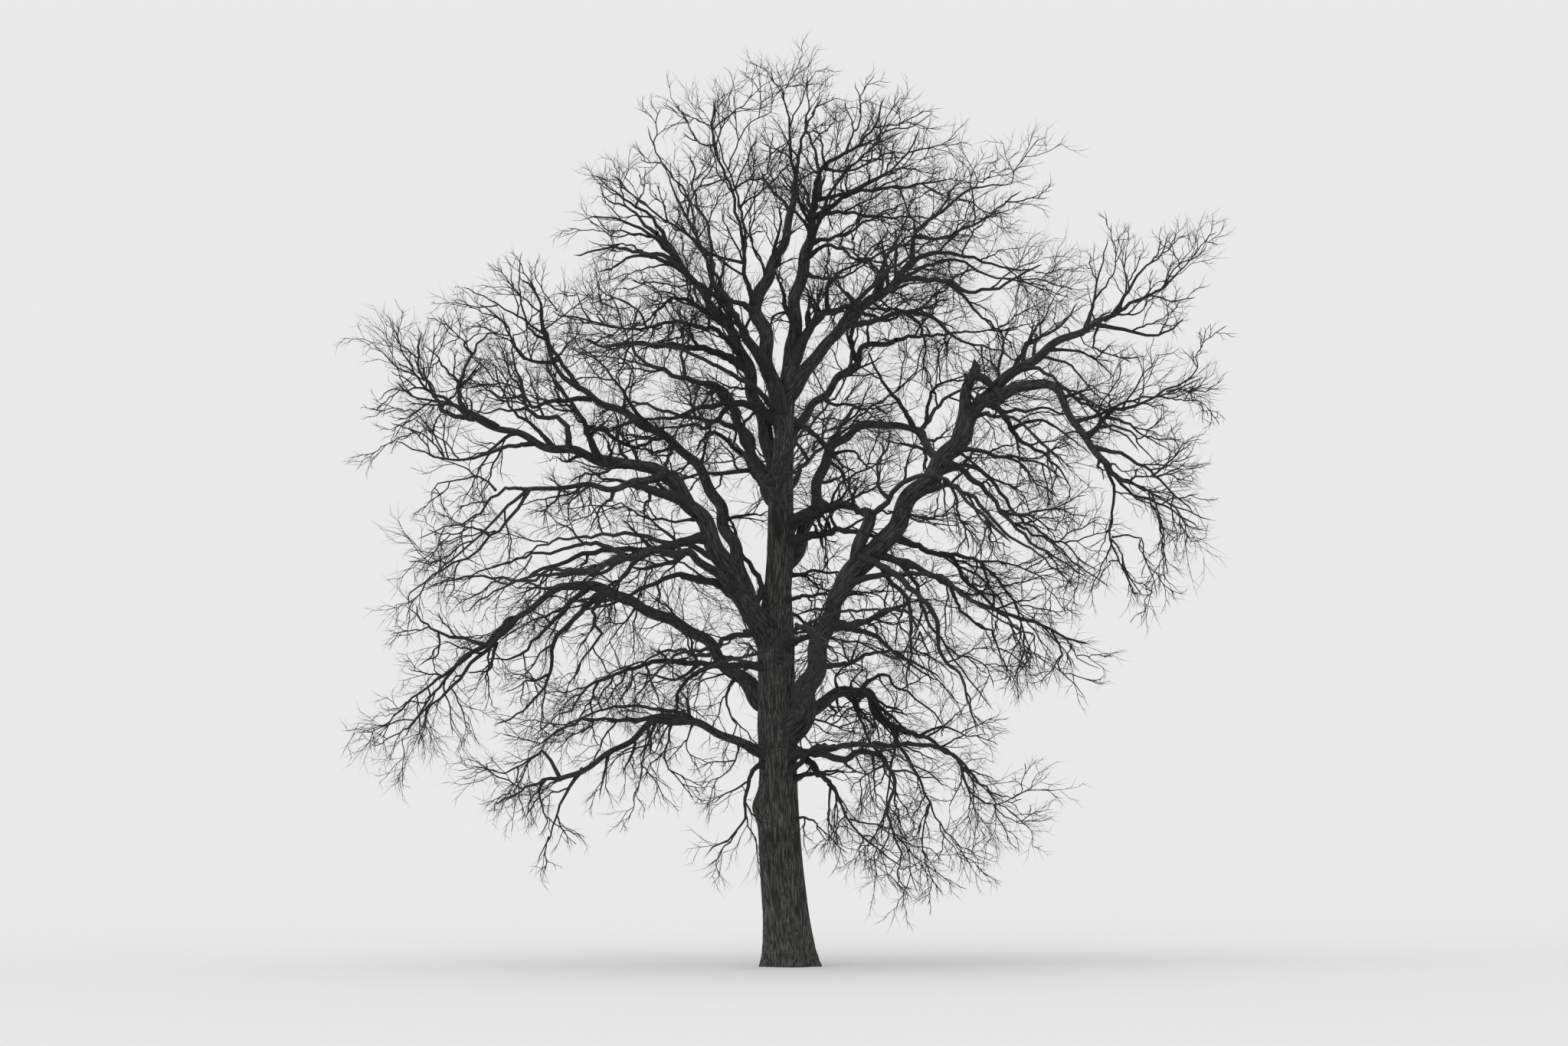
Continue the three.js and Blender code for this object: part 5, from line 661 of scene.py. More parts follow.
branchSpec["crown_left"] = {
    "shelf_inner": ("west_outer_rise", 0.17, 0.05, -0.2, 1.1,
        "-1.7 -1.2 9.3, -2.9 -.4 9.1, -3.5 0 8.6, -4 .3 8.2, -4.8 .6 7.9"),
    "shelf_lower": ("west_outer_rise", 0.22, 0.035, -0.3, 0.7,
        "-1 -.7 7.75, -1.25 -.85 8.1, -1.5 -1 8.33, -1.85 -1.2 8.45, -2.3 -1.5 8.5, -2.75 -1.9 8.37, "
        "-3.13 -2.2 8.22, -3.8 -2.8 7.95, -4.5 -3.4 7.7, -5.1 -3.9 7.1"),
    "shelf_fork": ("left_shelf_bough", 0.1, 0.03, 0, 0.15,
        "-4.2 -4.5 8.7, -5.2 -4 8.6, -5.8 -3.6 8.4, -7 -3.1 8.5, -8 -2.8 8.2"),
    "wand_fork": ("left_wand_bough", 0.09, 0.02, -0.3, 1,
        "-5.7 -4.1 10.4, -6.2 -4.4 10.4, -6.6 -4.6 10.35, -6.8 -4.8 9.9, -7 -4.9 9.7, -7.4 -5 9.65, "
        "-7.8 -5.2 9.5, -8.2 -5.3 9.3"),
    "reach_arch": ("west_outer_reach", 0.14, 0.03, 0.5, 1,
        "-4.85 -2.2 11.3, -4.9 -1.9 11.8, -5.2 -1.6 12.05, -5.6 -1.4 12.05, -5.75 -1.3 12.3, "
        "-5.8 -1.1 12.7, -6.1 -1 13.1, -6.2 -.9 13.5, -6.1 -.8 13.9"),
    "reach_rise": ("west_outer_reach", 0.19, 0.06, 0.7, 2.8,
        "-4.2 -2.1 11.1, -4.4 -2.7 11.7, -4.7 -3.1 12.2, -5.3 -3.4 13"),
    "reach_crown": ("west_outer_reach", 0.15, 0.03, 0.8, 0.4,
        "-7 -2.5 12, -7.3 -2.3 12.4, -7.25 -2 12.9, -7 -1.8 13.4, -6.85 -1.6 13.7, -6.3 -1.4 14"),
    "reach_low": ("far_left_low_twigs", 0.08, 0.025, 0.2, 1,
        "-7.6 -3.4 11.1, -8.1 -3.3 11.6, -8.8 -3.2 11.9"),
    "reach_mid_rise": ("west_outer_reach", 0.1, 0.03, 0.7, 1,
        "-5.2 -2.3 11.4, -5.8 -2.7 11.9, -6.3 -3 12.5, -6.6 -3.2 13.3"),
    "reach_far_level": ("west_outer_reach", 0.1, 0.03, 0.5, 1,
        "-6.4 -2.4 11.8, -7.2 -2.9 12.2, -8 -3.2 12.4, -8.7 -3.4 12.8"),
    "inner_side": ("west_inner_bough", 0.11, 0.03, 0.6, 1.4,
        "-3 2.1 11.7, -3.6 1.6 12.4, -4 1.2 13, -4.7 .9 13.6"),
    "inner_fork": ("left_upper_twigs", 0.1, 0.03, 0.6, 0.8,
        "-5.1 2.9 13.2, -5.8 2.8 13.3, -6.2 2.6 14, -6.9 2.5 14.5"),
    "inner_crown": ("left_upper_twigs", 0.09, 0.025, 0.8, 0.6,
        "-5.4 3.1 13.8, -6.1 3.1 14.3, -6.5 3 14.55, -7.3 2.9 14.9"),
    "high_left_dark_limb": ("trunk", 0.26, 0.06, 0.4, 0.7,
        "-.3 0 10.4, -.85 -.4 10.9, -1.1 -.8 11.8, -1.3 -1.3 12.4, -2 -2.2 12.8, -3 -3.2 13.1, "
        "-3.5 -3.5 13.7"),
    "high_left_low_limb": ("trunk", 0.22, 0.04, 0, 0.4,
        "-.1 0 11.8, -.7 -.2 12.15, -1.2 -.4 12.3, -1.7 -.6 12.27, -2.1 -.8 12.2, -2.6 -1 12.02, "
        "-3 -1.3 11.95, -3.6 -1.7 11.85"),
    "high_left_arched": ("upper_left_bough", 0.2, 0.05, 0.3, 0.8,
        "-1 .8 13, -1.7 .6 13.4, -2.4 .5 13.55, -3.4 .6 13.7, -4 .8 13.6, -4.6 1 13.75"),
    "high_left_level": ("upper_left_bough", 0.14, 0.035, 0.4, 1.2,
        "-1.1 .9 13.4, -1.6 -.2 13.9, -2.6 -.7 14.1, -3.6 -1.1 14, -5.3 -1.6 14.4"),
    "high_left_back": ("left_high_bough", 0.13, 0.035, 0.3, 0.3,
        "-1 1.7 11.7, -2.2 2.6 12, -3.4 3.6 12.3, -4.3 4.6 12"),
    "thin_left_spur": ("trunk", 0.14, 0.05, 0, 1.6,
        "-.2 0 10.8, -.8 -.3 10.76, -1.3 -.5 10.72, -1.8 -.7 10.76, -2.1 -.8 10.7, -2.6 -.9 10.5"),
    "reach_crown_left": ("reach_crown", 0.06, 0.015, 0.9, 1,
        "-7 -1.8 13.4, -7.2 -1.9 13.6, -7.3 -2 13.8, -7.8 -2.2 14.3"),
    "reach_crown_fan": ("reach_crown", 0.08, 0.02, 0.7, 1,
        "-7.3 -2.2 12.7, -7.5 -2.6 13, -7.8 -2.9 13.3, -8.1 -3.2 13.6"),
    "reach_twin": ("west_outer_reach", 0.12, 0.03, 0.7, 0.8,
        "-6.9 -2.4 11.95, -7.5 -2 12, -7.7 -1.8 12.3, -7.9 -1.6 12.7, -8.25 -1.4 13, -8.3 -1.3 13.4, "
        "-8.1 -1.2 13.9"),
    "reach_end_level": ("far_left_twigs", 0.07, 0.02, 0.1, 1,
        "-7.9 -2.7 12.6, -8.3 -3 12.65, -8.7 -3.2 12.6, -9.1 -3.4 12.35"),
    "reach_low_hook": ("far_left_low_twigs", 0.09, 0.02, 0.2, 1,
        "-7.6 -3.4 11.1, -7.75 -3.7 11.6, -8 -3.9 11.85, -8.45 -4.1 12.2, -9 -4.3 12.05"),
    "arch_left_long": ("reach_arch", 0.1, 0.025, 0.4, 1,
        "-5.75 -1.3 12.2, -6.1 -1.6 12.2, -6.6 -1.9 12.1, -7 -2 12.2"),
    "arch_left_high": ("reach_arch", 0.09, 0.02, 0.5, 1,
        "-5.8 -1.2 12.5, -6.2 -.8 12.45, -6.6 -.5 12.65, -7 -.3 12.9, -7.4 0 13"),
    "inner_knot_limb": ("west_inner_bough", 0.16, 0.04, 0.4, 1.6,
        "-4.3 2.6 12.45, -4.8 2.2 12.4, -5.3 1.8 12.25, -5.7 1.5 12.2, -5.9 1.3 12.6, -6.2 1 13"),
    "inner_upper_limb": ("west_inner_bough", 0.18, 0.04, 0.8, 0.7,
        "-4.6 2.7 12.65, -5.1 2.8 13, -5.35 2.9 13.6, -5.45 3 14.3, -5.6 3.1 14.8, -6 3.2 15.1"),
    "inner_left_curl": ("inner_upper_limb", 0.11, 0.025, 0.6, 1.5,
        "-5.2 2.8 13.2, -5.6 2.6 13.2, -5.9 2.4 13.3, -6.1 2.2 13.6, -6.2 2.1 14, -6.4 2 14.4"),
    "inner_fan": ("inner_upper_limb", 0.08, 0.02, 0.9, 0.7,
        "-5.4 2.9 13.7, -5.8 2.6 14, -5.9 2.4 14.5, -6.05 2.3 15, -5.9 2.2 15.7"),
    "upper_left_arch": ("upper_left_bough", 0.14, 0.03, 0.4, 2.1,
        "-1.4 1.2 14, -1.9 .4 14.35, -2.3 0 14.65, -2.6 -.2 14.6, -3 -.4 14.2, -3.4 -.6 14.05"),
    "level_fan": ("high_left_level", 0.06, 0.02, 0.7, 0.6,
        "-3.2 -1 14.1, -3.5 -1.2 14.4, -4 -1.4 14.65, -4.3 -1.6 15"),
    "inner_stub": ("west_inner_bough", 0.07, 0.02, 0.6, 1,
        "-3.6 2.3 12.2, -3.55 2.2 12.7, -3.5 2.1 13.1, -3.3 2 13.5"),
    "reach_loop": ("reach_rise", 0.11, 0.07, 0, 0.5,
        "-4.5 -2.7 12, -4.1 -2.3 11.75, -3.85 -2 11.5, -3.6 -1.8 11.35, -3.2 -1.6 11.4, -2.9 -1.4 11.6"),
    "wand_limb": ("left_wand_bough", 0.14, 0.03, -0.4, 0.5,
        "-5.7 -4.1 10.4, -6.15 -4.3 9.85, -6.6 -4.5 9.4, -6.9 -4.7 9, -7.4 -4.9 8.75, -8 -5.1 8.35, "
        "-8.4 -5.2 7.95"),
    "wand_top": ("wand_fork", 0.06, 0.02, 0, 1,
        "-6.5 -4.5 10.4, -6.65 -4.3 10.65, -7 -4.2 10.65, -7.4 -4 10.45, -7.8 -3.9 10.5, -7.9 -3.8 10.1"),
    "wand_low_fork": ("wand_limb", 0.08, 0.02, -0.2, 1,
        "-6.6 -4.5 9.4, -6.9 -4.1 9.5, -7.3 -3.8 9.35, -7.6 -3.6 9.5, -8 -3.5 9.55"),
    "shelf_top_limb": ("left_shelf_bough", 0.13, 0.03, -0.1, 0.4,
        "-3.6 -3.8 9.05, -4.2 -3.3 9.15, -4.6 -3 9.2, -5.2 -2.6 9, -6 -2.3 8.95, -6.5 -2 8.7, "
        "-7.2 -1.8 8.5"),
    "shelf_upper_root": ("west_outer_rise", 0.2, 0.06, -0.1, 0.5,
        "-1.75 -1.2 9.4, -2.3 -1.5 9.2, -3 -1.9 9, -3.6 -2.2 9.1, -4.2 -2.5 9.1, -4.8 -2.8 8.9, "
        "-5.4 -3 8.6, -5.8 -3.2 8.4"),
    "wand_drop": ("left_wand_bough", 0.09, 0.03, -0.9, 1,
        "-3.85 -2.9 10.5, -3.9 -3 10.2, -4.1 -3.1 9.9, -4.35 -3.2 9.55"),
    "rise_thread": ("west_outer_rise", 0.07, 0.02, 0, 0.5,
        "-2 -1.4 9.7, -2.6 -2 9.75, -3.25 -2.5 9.85, -3.6 -2.8 10.05, -4.2 -3.1 10, -5 -3.6 10.05"),
    "wand_under": ("left_wand_bough", 0.06, 0.02, -0.3, 1,
        "-4.6 -3.4 10.4, -4.9 -3.7 10.25, -5.4 -4 10.2, -6 -4.3 10"),
    "reach_under": ("west_outer_reach", 0.1, 0.03, -0.2, 1,
        "-3.5 -2 10.95, -4 -2.6 10.8, -4.5 -3 10.75, -4.9 -3.3 10.5"),
    "arch_level": ("upper_left_arch", 0.07, 0.02, 0.3, 0.7,
        "-3.3 -.55 14.1, -3.7 -.7 13.98, -4.1 -.9 14.03, -4.6 -1 14.05, -5.1 -1.2 14.1, -5.6 -1.3 14.15"),
    "level_riser_near": ("high_left_level", 0.05, 0.015, 0.8, 0.6,
        "-3.5 -1.05 14, -3.4 -.9 14.25, -3.55 -.8 14.5, -3.8 -.7 14.65"),
    "level_riser_mid": ("high_left_level", 0.05, 0.015, 0.8, 0.6,
        "-4.1 -1.25 14.1, -4.25 -1.1 14.3, -4.15 -1 14.5, -4.3 -.8 14.8"),
    "level_riser_far": ("high_left_level", 0.05, 0.015, 0.8, 1,
        "-4.4 -1.35 14.15, -4.55 -1.6 14.5, -4.7 -1.8 14.7, -4.85 -2 14.85"),
    "arch_riser": ("upper_left_arch", 0.06, 0.015, 0.7, 1.5,
        "-3 -.4 14.2, -2.9 -.7 14.5, -2.9 -1 14.75, -3.1 -1.2 14.95, -3.3 -1.4 15.05"),
    "level_cross": ("high_left_level", 0.08, 0.03, -0.1, 1,
        "-2.2 -.55 14.05, -2.3 -.3 13.9, -2.42 -.1 13.75, -2.45 .1 13.6"),
    "wand_root": ("west_outer_rise", 0.26, 0.14, 0, 1,
        "-2.3 -1.6 10.1, -2.6 -1.9 10.33, -2.9 -2.2 10.42, -3.2 -2.5 10.5, -3.6 -2.8 10.52"),
    "inner_thread": ("west_inner_bough", 0.07, 0.03, 0, 1,
        "-2.6 1.9 11.3, -2.9 1.7 11.25, -3.3 1.5 11.25, -3.7 1.3 11.25, -4.05 1.1 11.15"),
    "inner_link": ("west_inner_bough", 0.1, 0.04, -0.2, 1.5,
        "-2.65 1.95 11.4, -2.72 1.2 11.15, -2.65 .5 10.9, -2.5 0 10.7, -2.35 -.4 10.72"),
    "dark_limb_rise": ("high_left_dark_limb", 0.1, 0.03, 0.5, 1,
        "-2.35 -2.5 12.95, -2.28 -2.7 13.15, -2.35 -2.9 13.4, -2.2 -3 13.7, -2.3 -3.2 14"),
    "cross_fork_low": ("high_left_low_limb", 0.12, 0.03, -0.1, 1,
        "-1.3 -.5 12.3, -1.6 -.9 12, -1.87 -1.2 11.75, -2.13 -1.4 11.88, -2.48 -1.6 11.82, -2.8 -1.8 11.7, "
        "-3.1 -2 11.75"),
    "shelf_twin": ("left_shelf_bough", 0.13, 0.04, -0.1, 1.4,
        "-3.4 -3.6 9, -3.7 -3.3 8.8, -4 -3.1 8.6, -4.35 -2.9 8.53, -4.8 -2.7 8.45, -5.2 -2.5 8.45"),
    "shelf_under": ("left_shelf_bough", 0.12, 0.05, -0.2, 2.3,
        "-2.3 -2.3 9, -2.6 -2.1 8.8, -2.9 -2 8.75, -3.2 -1.9 8.65, -3.5 -1.8 8.7"),
    "west_inner_rise": ("west_outer_rise", 0.16, 0.05, 0.3, 1,
        "-.75 -.4 7.8, -.62 -.2 8.2, -.8 0 8.6, -.95 .2 8.9, -1.1 .4 9.2, -1.2 .6 9.6, -1.35 .8 9.9"),
    "knee_limb": ("left_high_bough", 0.14, 0.05, 0.1, 1,
        "-.75 1 11, -1 .8 11.22, -1.3 .7 11.3, -1.42 .5 11.5, -1.6 .4 11.65, -1.85 .3 11.65, -1.95 .2 11.4, "
        "-2.1 .1 11.15"),
}
branchSpec["crown_front_back"] = {
    "front_rise": ("front_high_twigs", 0.12, 0.03, 0.6, 0.7,
        "-.6 -3 10.6, .3 -4 11.6, 1 -5.1 12.5, 1.4 -6 13.4"),
    "front_left_fork": ("front_low_twigs", 0.12, 0.03, -0.2, 0.7,
        ".2 -2.6 7.4, -.6 -4 6.9, -1.4 -5.2 6.6, -2.4 -6.6 6.2"),
    "front_right_fork": ("front_low_twigs", 0.12, 0.03, -0.2, 0.24,
        ".3 -3.4 7.4, 1.4 -4.6 7.7, 2.3 -6 7.6, 3 -7.2 7"),
    "back_rise": ("back_high_twigs", 0.12, 0.03, 0.6, 0.7,
        ".3 3 11, -.6 4 12.2, -1.3 5.1 13.4, -1.7 5.9 14.4"),
    "back_right_rise": ("back_high_twigs", 0.12, 0.03, 0.5, 0.3,
        ".5 4 11.2, 1.5 4.9 12, 2.6 5.6 12.8, 3.1 6.1 13.8"),
    "back_left_fork": ("back_low_twigs", 0.12, 0.03, -0.3, 0.4,
        "-.7 2.6 7, -1.6 3.6 8.3, -2.6 4.7 8.9, -3.8 6 8.8"),
    "back_right_fork": ("back_low_twigs", 0.13, 0.03, -0.4, 0.15,
        "-.8 3.2 7.1, .6 4.8 7.2, 1.8 6.2 6.9, 2.9 7.2 6.2"),
}

# The twigs' rule by order: 1 grows from a stem, a branch or a limb, each later order from the one before
twigRule = {
    "golden": (0.618034, 2.399963),     # how far along, and how far round, from one twig to the next
    "stray": 0.5,                       # radians that a twig strays from that turn, to each side
    "first": 0.12,                      # part of a stem or twig that stays bare at its foot
    "lengths": (0.8, 1.2),              # how much the twigs differ in length
    "standOff": (0.6, 0.5, 0.1, 0.75),  # the least along a limb, what a swell adds, and its start and span
    "reachAtFoot": 1.15, "reachLost": 0.5,      # a twig's twigs: longest at its foot, shorter by its tip
    "roomBetween": 0.05, "roomAtLimb": 0.012,
    "roomTested": (0.35, 0.7, 1),       # where along each of its steps a twig is tested for room
    "leastHeight": 0.4,                 # metres above the ground
    "fineSteps": 200,                   # steps that a way's length is measured in
    "stemStep": 1.0, "stemCrook": 0.09, "stemTip": 0.012, "stemTaper": 0.9,
    "limbStep": 0.55, "limbCrook": 0.055, "branchStep": 0.6, "branchCrook": 0.08, "limbTaper": 0.8,
    "seated": 0.9,                      # the thickest a foot may be beside what carries it
    "rooted": 0.6,                      # how far a bough runs inside what carries it, in metres
    "kink": 0.11,                       # how far each bend stands off, beside its length
    "overReach": 0.3,                   # metres that the finest twigs may pass the solids' box
}
# foot and tip: the least radius a twig starts with, and the one it ends with, in metres
# slim: its thickness beside that of what it grows from
orders = {
    1: dict(steps=2, count=(1, 48), angle=(0.65, 1.1), crook=0.26, lift=0.2, kinks=2, foot=0.021, tip=0.01,
            slim=0.66),
    2: dict(steps=1, perMetre=3.3, count=(2, 7), angle=(0.42, 0.95), crook=0.18, lift=0.15, reach=0.75,
            kinks=2, foot=0.012, tip=0.0065, slim=0.62),
    3: dict(steps=1, perMetre=3.7, count=(1, 5), angle=(0.4, 0.95), crook=0.22, lift=0.12, reach=0.68,
            kinks=1, foot=0.007, tip=0.0045, slim=0.58),
    4: dict(steps=1, perMetre=5, count=(1, 3), angle=(0.35, 0.9), crook=0.2, lift=0.1, reach=0.75,
            kinks=0, foot=0.005, tip=0.0, slim=0.55),
}
# What carries first-order twigs: how many a metre, how far they stand off it, and for a bough how they lift
carrierRule = {
    "mass": dict(perMetre=1.6, bare=0.12),
    "branch": dict(perMetre=1.4, bare=0.2, spread=1.15, leastSpread=0.4, spreadByLength=0.22),
    "bough": dict(perMetre=1.3, bare=0.22, spread=1.2, levelAt=8.5, liftOver=4, mostLift=0.8),
    "trunk": dict(perMetre=4.0, bare=0.34, spread=0.6, lift=0.5, thickest=0.012),
    "thickest": 0.05,
}
# Where each kind's seeded chances start, beside the seed
drawsOf = {"bough": 0, "stem": 100, "stemTwigs": 500, "boughTwigs": 900, "branch": 2000, "branchTwigs": 2500,
           "trunkTwigs": 3000}
kinkDraws = 977


def wayOf(points):
    return [np.array([float(number) for number in point.split()]) for point in points.split(",")]


# A point as it measures in the trunk's plane, moved along the line of sight to its own depth
def atDepth(point):
    grown = 1 + point[1] / -eye[1]
    return np.array([eye[0] + (point[0] - eye[0]) * grown, point[1], eye[2] + (point[2] - eye[2]) * grown])


# Seeded chances, the same numbers as the solids were grown with; the long constants only mix the bits
class Chances:
    def __init__(self, numbers):
        self.state = np.array(numbers, np.uint32).reshape(-1).copy()

    def next(self):
        self.state += np.uint32(0x6D2B79F5)
        state = self.state
        mixed = (state ^ (state >> np.uint32(15))) * (state | np.uint32(1))
        mixed ^= mixed + (mixed ^ (mixed >> np.uint32(7))) * (mixed | np.uint32(61))
        return (mixed ^ (mixed >> np.uint32(14))).astype(float) / 2.0 ** 32

    def span(self, low, high):
        return low + (high - low) * self.next()


def childNumber(number, child):
    turned = (np.asarray(child).astype(np.uint64) + 1) * 0x9E3779B1 & 0xFFFFFFFF
    mixed = ((np.asarray(number).astype(np.uint64) ^ turned) * 0x85EBCA6B) & 0xFFFFFFFF
    return (mixed ^ (mixed >> np.uint64(13))).astype(np.uint32)


# A smooth way through points, even in its parameter, and read at any number of places
def smoothWay(points, places):
    points = np.asarray(points, float)
    padded = np.vstack([2 * points[0] - points[1], points, 2 * points[-1] - points[-2]])
    spans = len(points) - 1
    at = np.asarray(places, float) * spans
    index = np.minimum(at.astype(int), spans - 1)
    part = (at - index)[:, None]
    before, start, end, after = (padded[index + k] for k in range(4))
    slopeIn = 0.5 * (end - before)
    slopeOut = 0.5 * (after - start)
    return (start + slopeIn * part + (3 * (end - start) - 2 * slopeIn - slopeOut) * part ** 2
            + (2 * (start - end) + slopeIn + slopeOut) * part ** 3)


def lengthOf(way):
    return float(np.linalg.norm(np.diff(way, axis=0), axis=1).sum())


# A limb's way in steps of about one length, made crooked by seeded chances
def crookedWay(points, step, fewest, crook, number):
    long = lengthOf(smoothWay(points, np.linspace(0, 1, twigRule["fineSteps"] + 1)))
    steps = max(fewest, round(long / step))
    chance = Chances([number])
    way = smoothWay(points, np.linspace(0, 1, steps + 1))
    for i in range(1, steps):
        for axis in range(3):
            way[i, axis] += crook * (2 * chance.next()[0] - 1)
    return way, long, np.arange(steps + 1) / steps


def tapered(foot, end, part, power):
    return foot + (end - foot) * part ** power


# The part of a limb's steps that lies so many metres along it
def partAt(limb, along):
    steps = np.linalg.norm(np.diff(limb["way"], axis=0), axis=1)
    left = along
    for i, step in enumerate(steps):
        if left <= step:
            return (i + left / step) / len(steps)
        left -= step
    return 1.0


def placeAlong(way, radii, part):
    last = way.shape[-2] - 1
    index = np.minimum(last - 1, np.floor(part * last).astype(int))
    within = part * last - index
    rows = np.arange(len(way))
    low, high = way[rows, index], way[rows, index + 1]
    heading = high - low
    heading /= np.linalg.norm(heading, axis=1)[:, None]
    radius = radii[rows, index] * (1 - within) + radii[rows, index + 1] * within
    return low + (high - low) * within[:, None], heading, radius


def seatOn(parent, along):
    part = np.array([partAt(parent, along)])
    place, _, radius = placeAlong(parent["way"][None], parent["radii"][None], part)
    return place[0], radius[0]


def growTrunk(spec):
    rings = spec["rings"]
    points = wayOf(spec["way"])
    smooth = smoothWay(points, np.linspace(0, 1, rings * 3 + 1))
    heights = points[-1][2] * (np.arange(rings + 1) / rings) ** spec["crowding"]
    way = np.stack([np.interp(heights, smooth[:, 2], smooth[:, axis]) for axis in range(3)], 1)
    levels, halves = zip(*spec["girth"])
    return {"name": "trunk", "way": way, "radii": np.interp(way[:, 2], levels, halves)}


def growBough(name, spec, order, limbs):
    parent = limbs[spec["parent"]]
    start, _ = seatOn(parent, spec["along"])
    root, _ = seatOn(parent, min(spec["along"], lengthOf(parent["way"])) - twigRule["rooted"])
    points = [start] + [atDepth(point) for point in wayOf(spec["way"])]
    way, long, part = crookedWay(points, twigRule["limbStep"], 3, twigRule["limbCrook"],
                                 seed + drawsOf["bough"] + order)
    thick = spec["thick"]
    if len(thick) == 2:
        radii = tapered(thick[0], thick[1], part, twigRule["limbTaper"]) / 2
    else:
        radii = np.interp(part, np.linspace(0, 1, len(thick)), thick) / 2
    rule = carrierRule["bough"]
    lift = float(np.clip((way[:, 2].mean() - rule["levelAt"]) / rule["liftOver"], -rule["mostLift"],
                         rule["mostLift"]))
    return {"name": name, "way": way, "radii": radii, "long": long, "lift": lift, "spread": rule["spread"],
            "full": spec.get("full", 1), "number": seed + drawsOf["boughTwigs"] + order,
            "piece": spec["piece"], "carrier": parent, "root": root}


def growStem(name, spec, order, limbs):
    parent = limbs[spec["parent"]]
    start, parentRadius = seatOn(parent, spec["along"])
    points = [start] + [atDepth(point) for point in wayOf(spec["way"])]
    way, long, part = crookedWay(points, twigRule["stemStep"], 4, twigRule["stemCrook"],
                                 seed + drawsOf["stem"] + order)
    foot = min(spec["thick"] / 2, twigRule["seated"] * parentRadius)
    radii = tapered(foot, twigRule["stemTip"], part, twigRule["stemTaper"])
    return {"name": name, "way": way, "radii": radii, "long": long, "lift": spec["lift"],
            "full": spec["full"], "piece": spec["piece"], "carrier": parent, "spread": spec["spread"],
            "number": seed + drawsOf["stemTwigs"] + order}


def distancesTo(points, feet, ends):
    step = ends - feet
    reach = points @ step.T - (feet * step).sum(1)
    part = np.clip(reach / (step ** 2).sum(1), 0, 1)
    foot2 = (points ** 2).sum(1)[:, None] + (feet ** 2).sum(1) - 2 * points @ feet.T
    return np.sqrt(np.maximum(foot2 - 2 * part * reach + part ** 2 * (step ** 2).sum(1), 0)), part


def nearestOn(carrier, point):
    way, radii = carrier["way"], carrier["radii"]
    away, part = distancesTo(point[None], way[:-1], way[1:])
    index = int(away[0].argmin())
    within = part[0, index]
    return (way[index] * (1 - within) + way[index + 1] * within,
            radii[index] * (1 - within) + radii[index + 1] * within)


def growBranch(name, spec, order, carriers):
    parent = carriers[spec["parent"]]
    points = [atDepth(point) for point in wayOf(spec["way"])]
    points[0], parentRadius = nearestOn(parent, points[0])
    way, long, part = crookedWay(points, twigRule["branchStep"], 4, twigRule["branchCrook"],
                                 seed + drawsOf["branch"] + order)
    foot, end = spec["thick"][0] / 2, spec["thick"][1] / 2
    foot = min(foot, twigRule["seated"] * parentRadius)
    radii = tapered(foot, end, part, twigRule["limbTaper"])
    rule = carrierRule["branch"]
    spread = min(rule["spread"], rule["leastSpread"] + rule["spreadByLength"] * long)
    return {"name": name, "way": way, "radii": radii, "long": long, "lift": spec["lift"],
            "full": spec["full"], "piece": spec["piece"], "carrier": parent, "spread": spread,
            "number": seed + drawsOf["branchTwigs"] + order}


limbs = {"trunk": growTrunk(trunkSpec)}
for order, (name, spec) in enumerate(boughSpec.items()):
    limbs[name] = growBough(name, spec, order, limbs)
stems = {}
for piece, rows in massSpec.items():
    for name, (parent, along, thick, spread, lift, full, way) in rows.items():
        spec = dict(parent=parent, along=along, thick=thick, spread=spread, lift=lift, full=full,
                    piece=piece, way=way)
        stems[name] = growStem(name, spec, len(stems), limbs)
branches = {}
for piece, rows in branchSpec.items():
    for name, (parent, foot, end, lift, full, way) in rows.items():
        spec = dict(parent=parent, thick=(foot, end), lift=lift, full=full, piece=piece, way=way)
        branches[name] = growBranch(name, spec, len(branches), {**limbs, **stems, **branches})
print("limbs grown:", len(limbs), "limbs,", len(stems), "stems and", len(branches), "branches")


# Room: a twig keeps to its own stem's space, clear of every limb, inside the solids' reach
def segmentsOf(ways):
    feet = np.vstack([w["way"][:-1] for w in ways])
    ends = np.vstack([w["way"][1:] for w in ways])
    owner = np.concatenate([np.full(len(w["way"]) - 1, i) for i, w in enumerate(ways)])
    radii = np.concatenate([w["radii"][:-1] for w in ways])
    radiiEnd = np.concatenate([w["radii"][1:] for w in ways])
    return feet, ends, owner, radii, radiiEnd


limbSegments = segmentsOf(list(limbs.values()))
stemSegments = segmentsOf(list(stems.values()))
boxLow = np.array(cadBox[0]) - twigRule["overReach"]
boxHigh = np.array(cadBox[1]) + twigRule["overReach"]
boxLow[2] = twigRule["leastHeight"]


def hasRoom(points, radius, owner, spread):
    feet, ends, own, _, _ = stemSegments
    good = np.all((points > boxLow) & (points < boxHigh), axis=1)
    away, _ = distancesTo(points, feet, ends)
    if owner is not None:
        mine = own[None, :] == owner[:, None]
        nearest = np.where(mine, away, np.inf).min(1)
        others = np.where(mine, np.inf, away).min(1)
        good &= (nearest <= spread) & (others >= nearest + twigRule["roomBetween"])
    feet, ends, _, low, high = limbSegments
    away, part = distancesTo(points, feet, ends)
    room = (away - low * (1 - part) - high * part).min(1)
    return good & (room >= radius + twigRule["roomAtLimb"])


def twigsFit(twigs, testSpace):
    way, radii = twigs["straight"], twigs["thin"]
    good = np.ones(len(way), bool)
    for i in range(1, way.shape[1]):
        for within in twigRule["roomTested"]:
            points = way[:, i - 1] + (way[:, i] - way[:, i - 1]) * within
            owner = twigs["owner"] if testSpace else None
            good &= hasRoom(points, radii[:, i - 1], owner, twigs["spread"])
    return good


def kept(twigs, good):
    return {key: value[good] for key, value in twigs.items()}


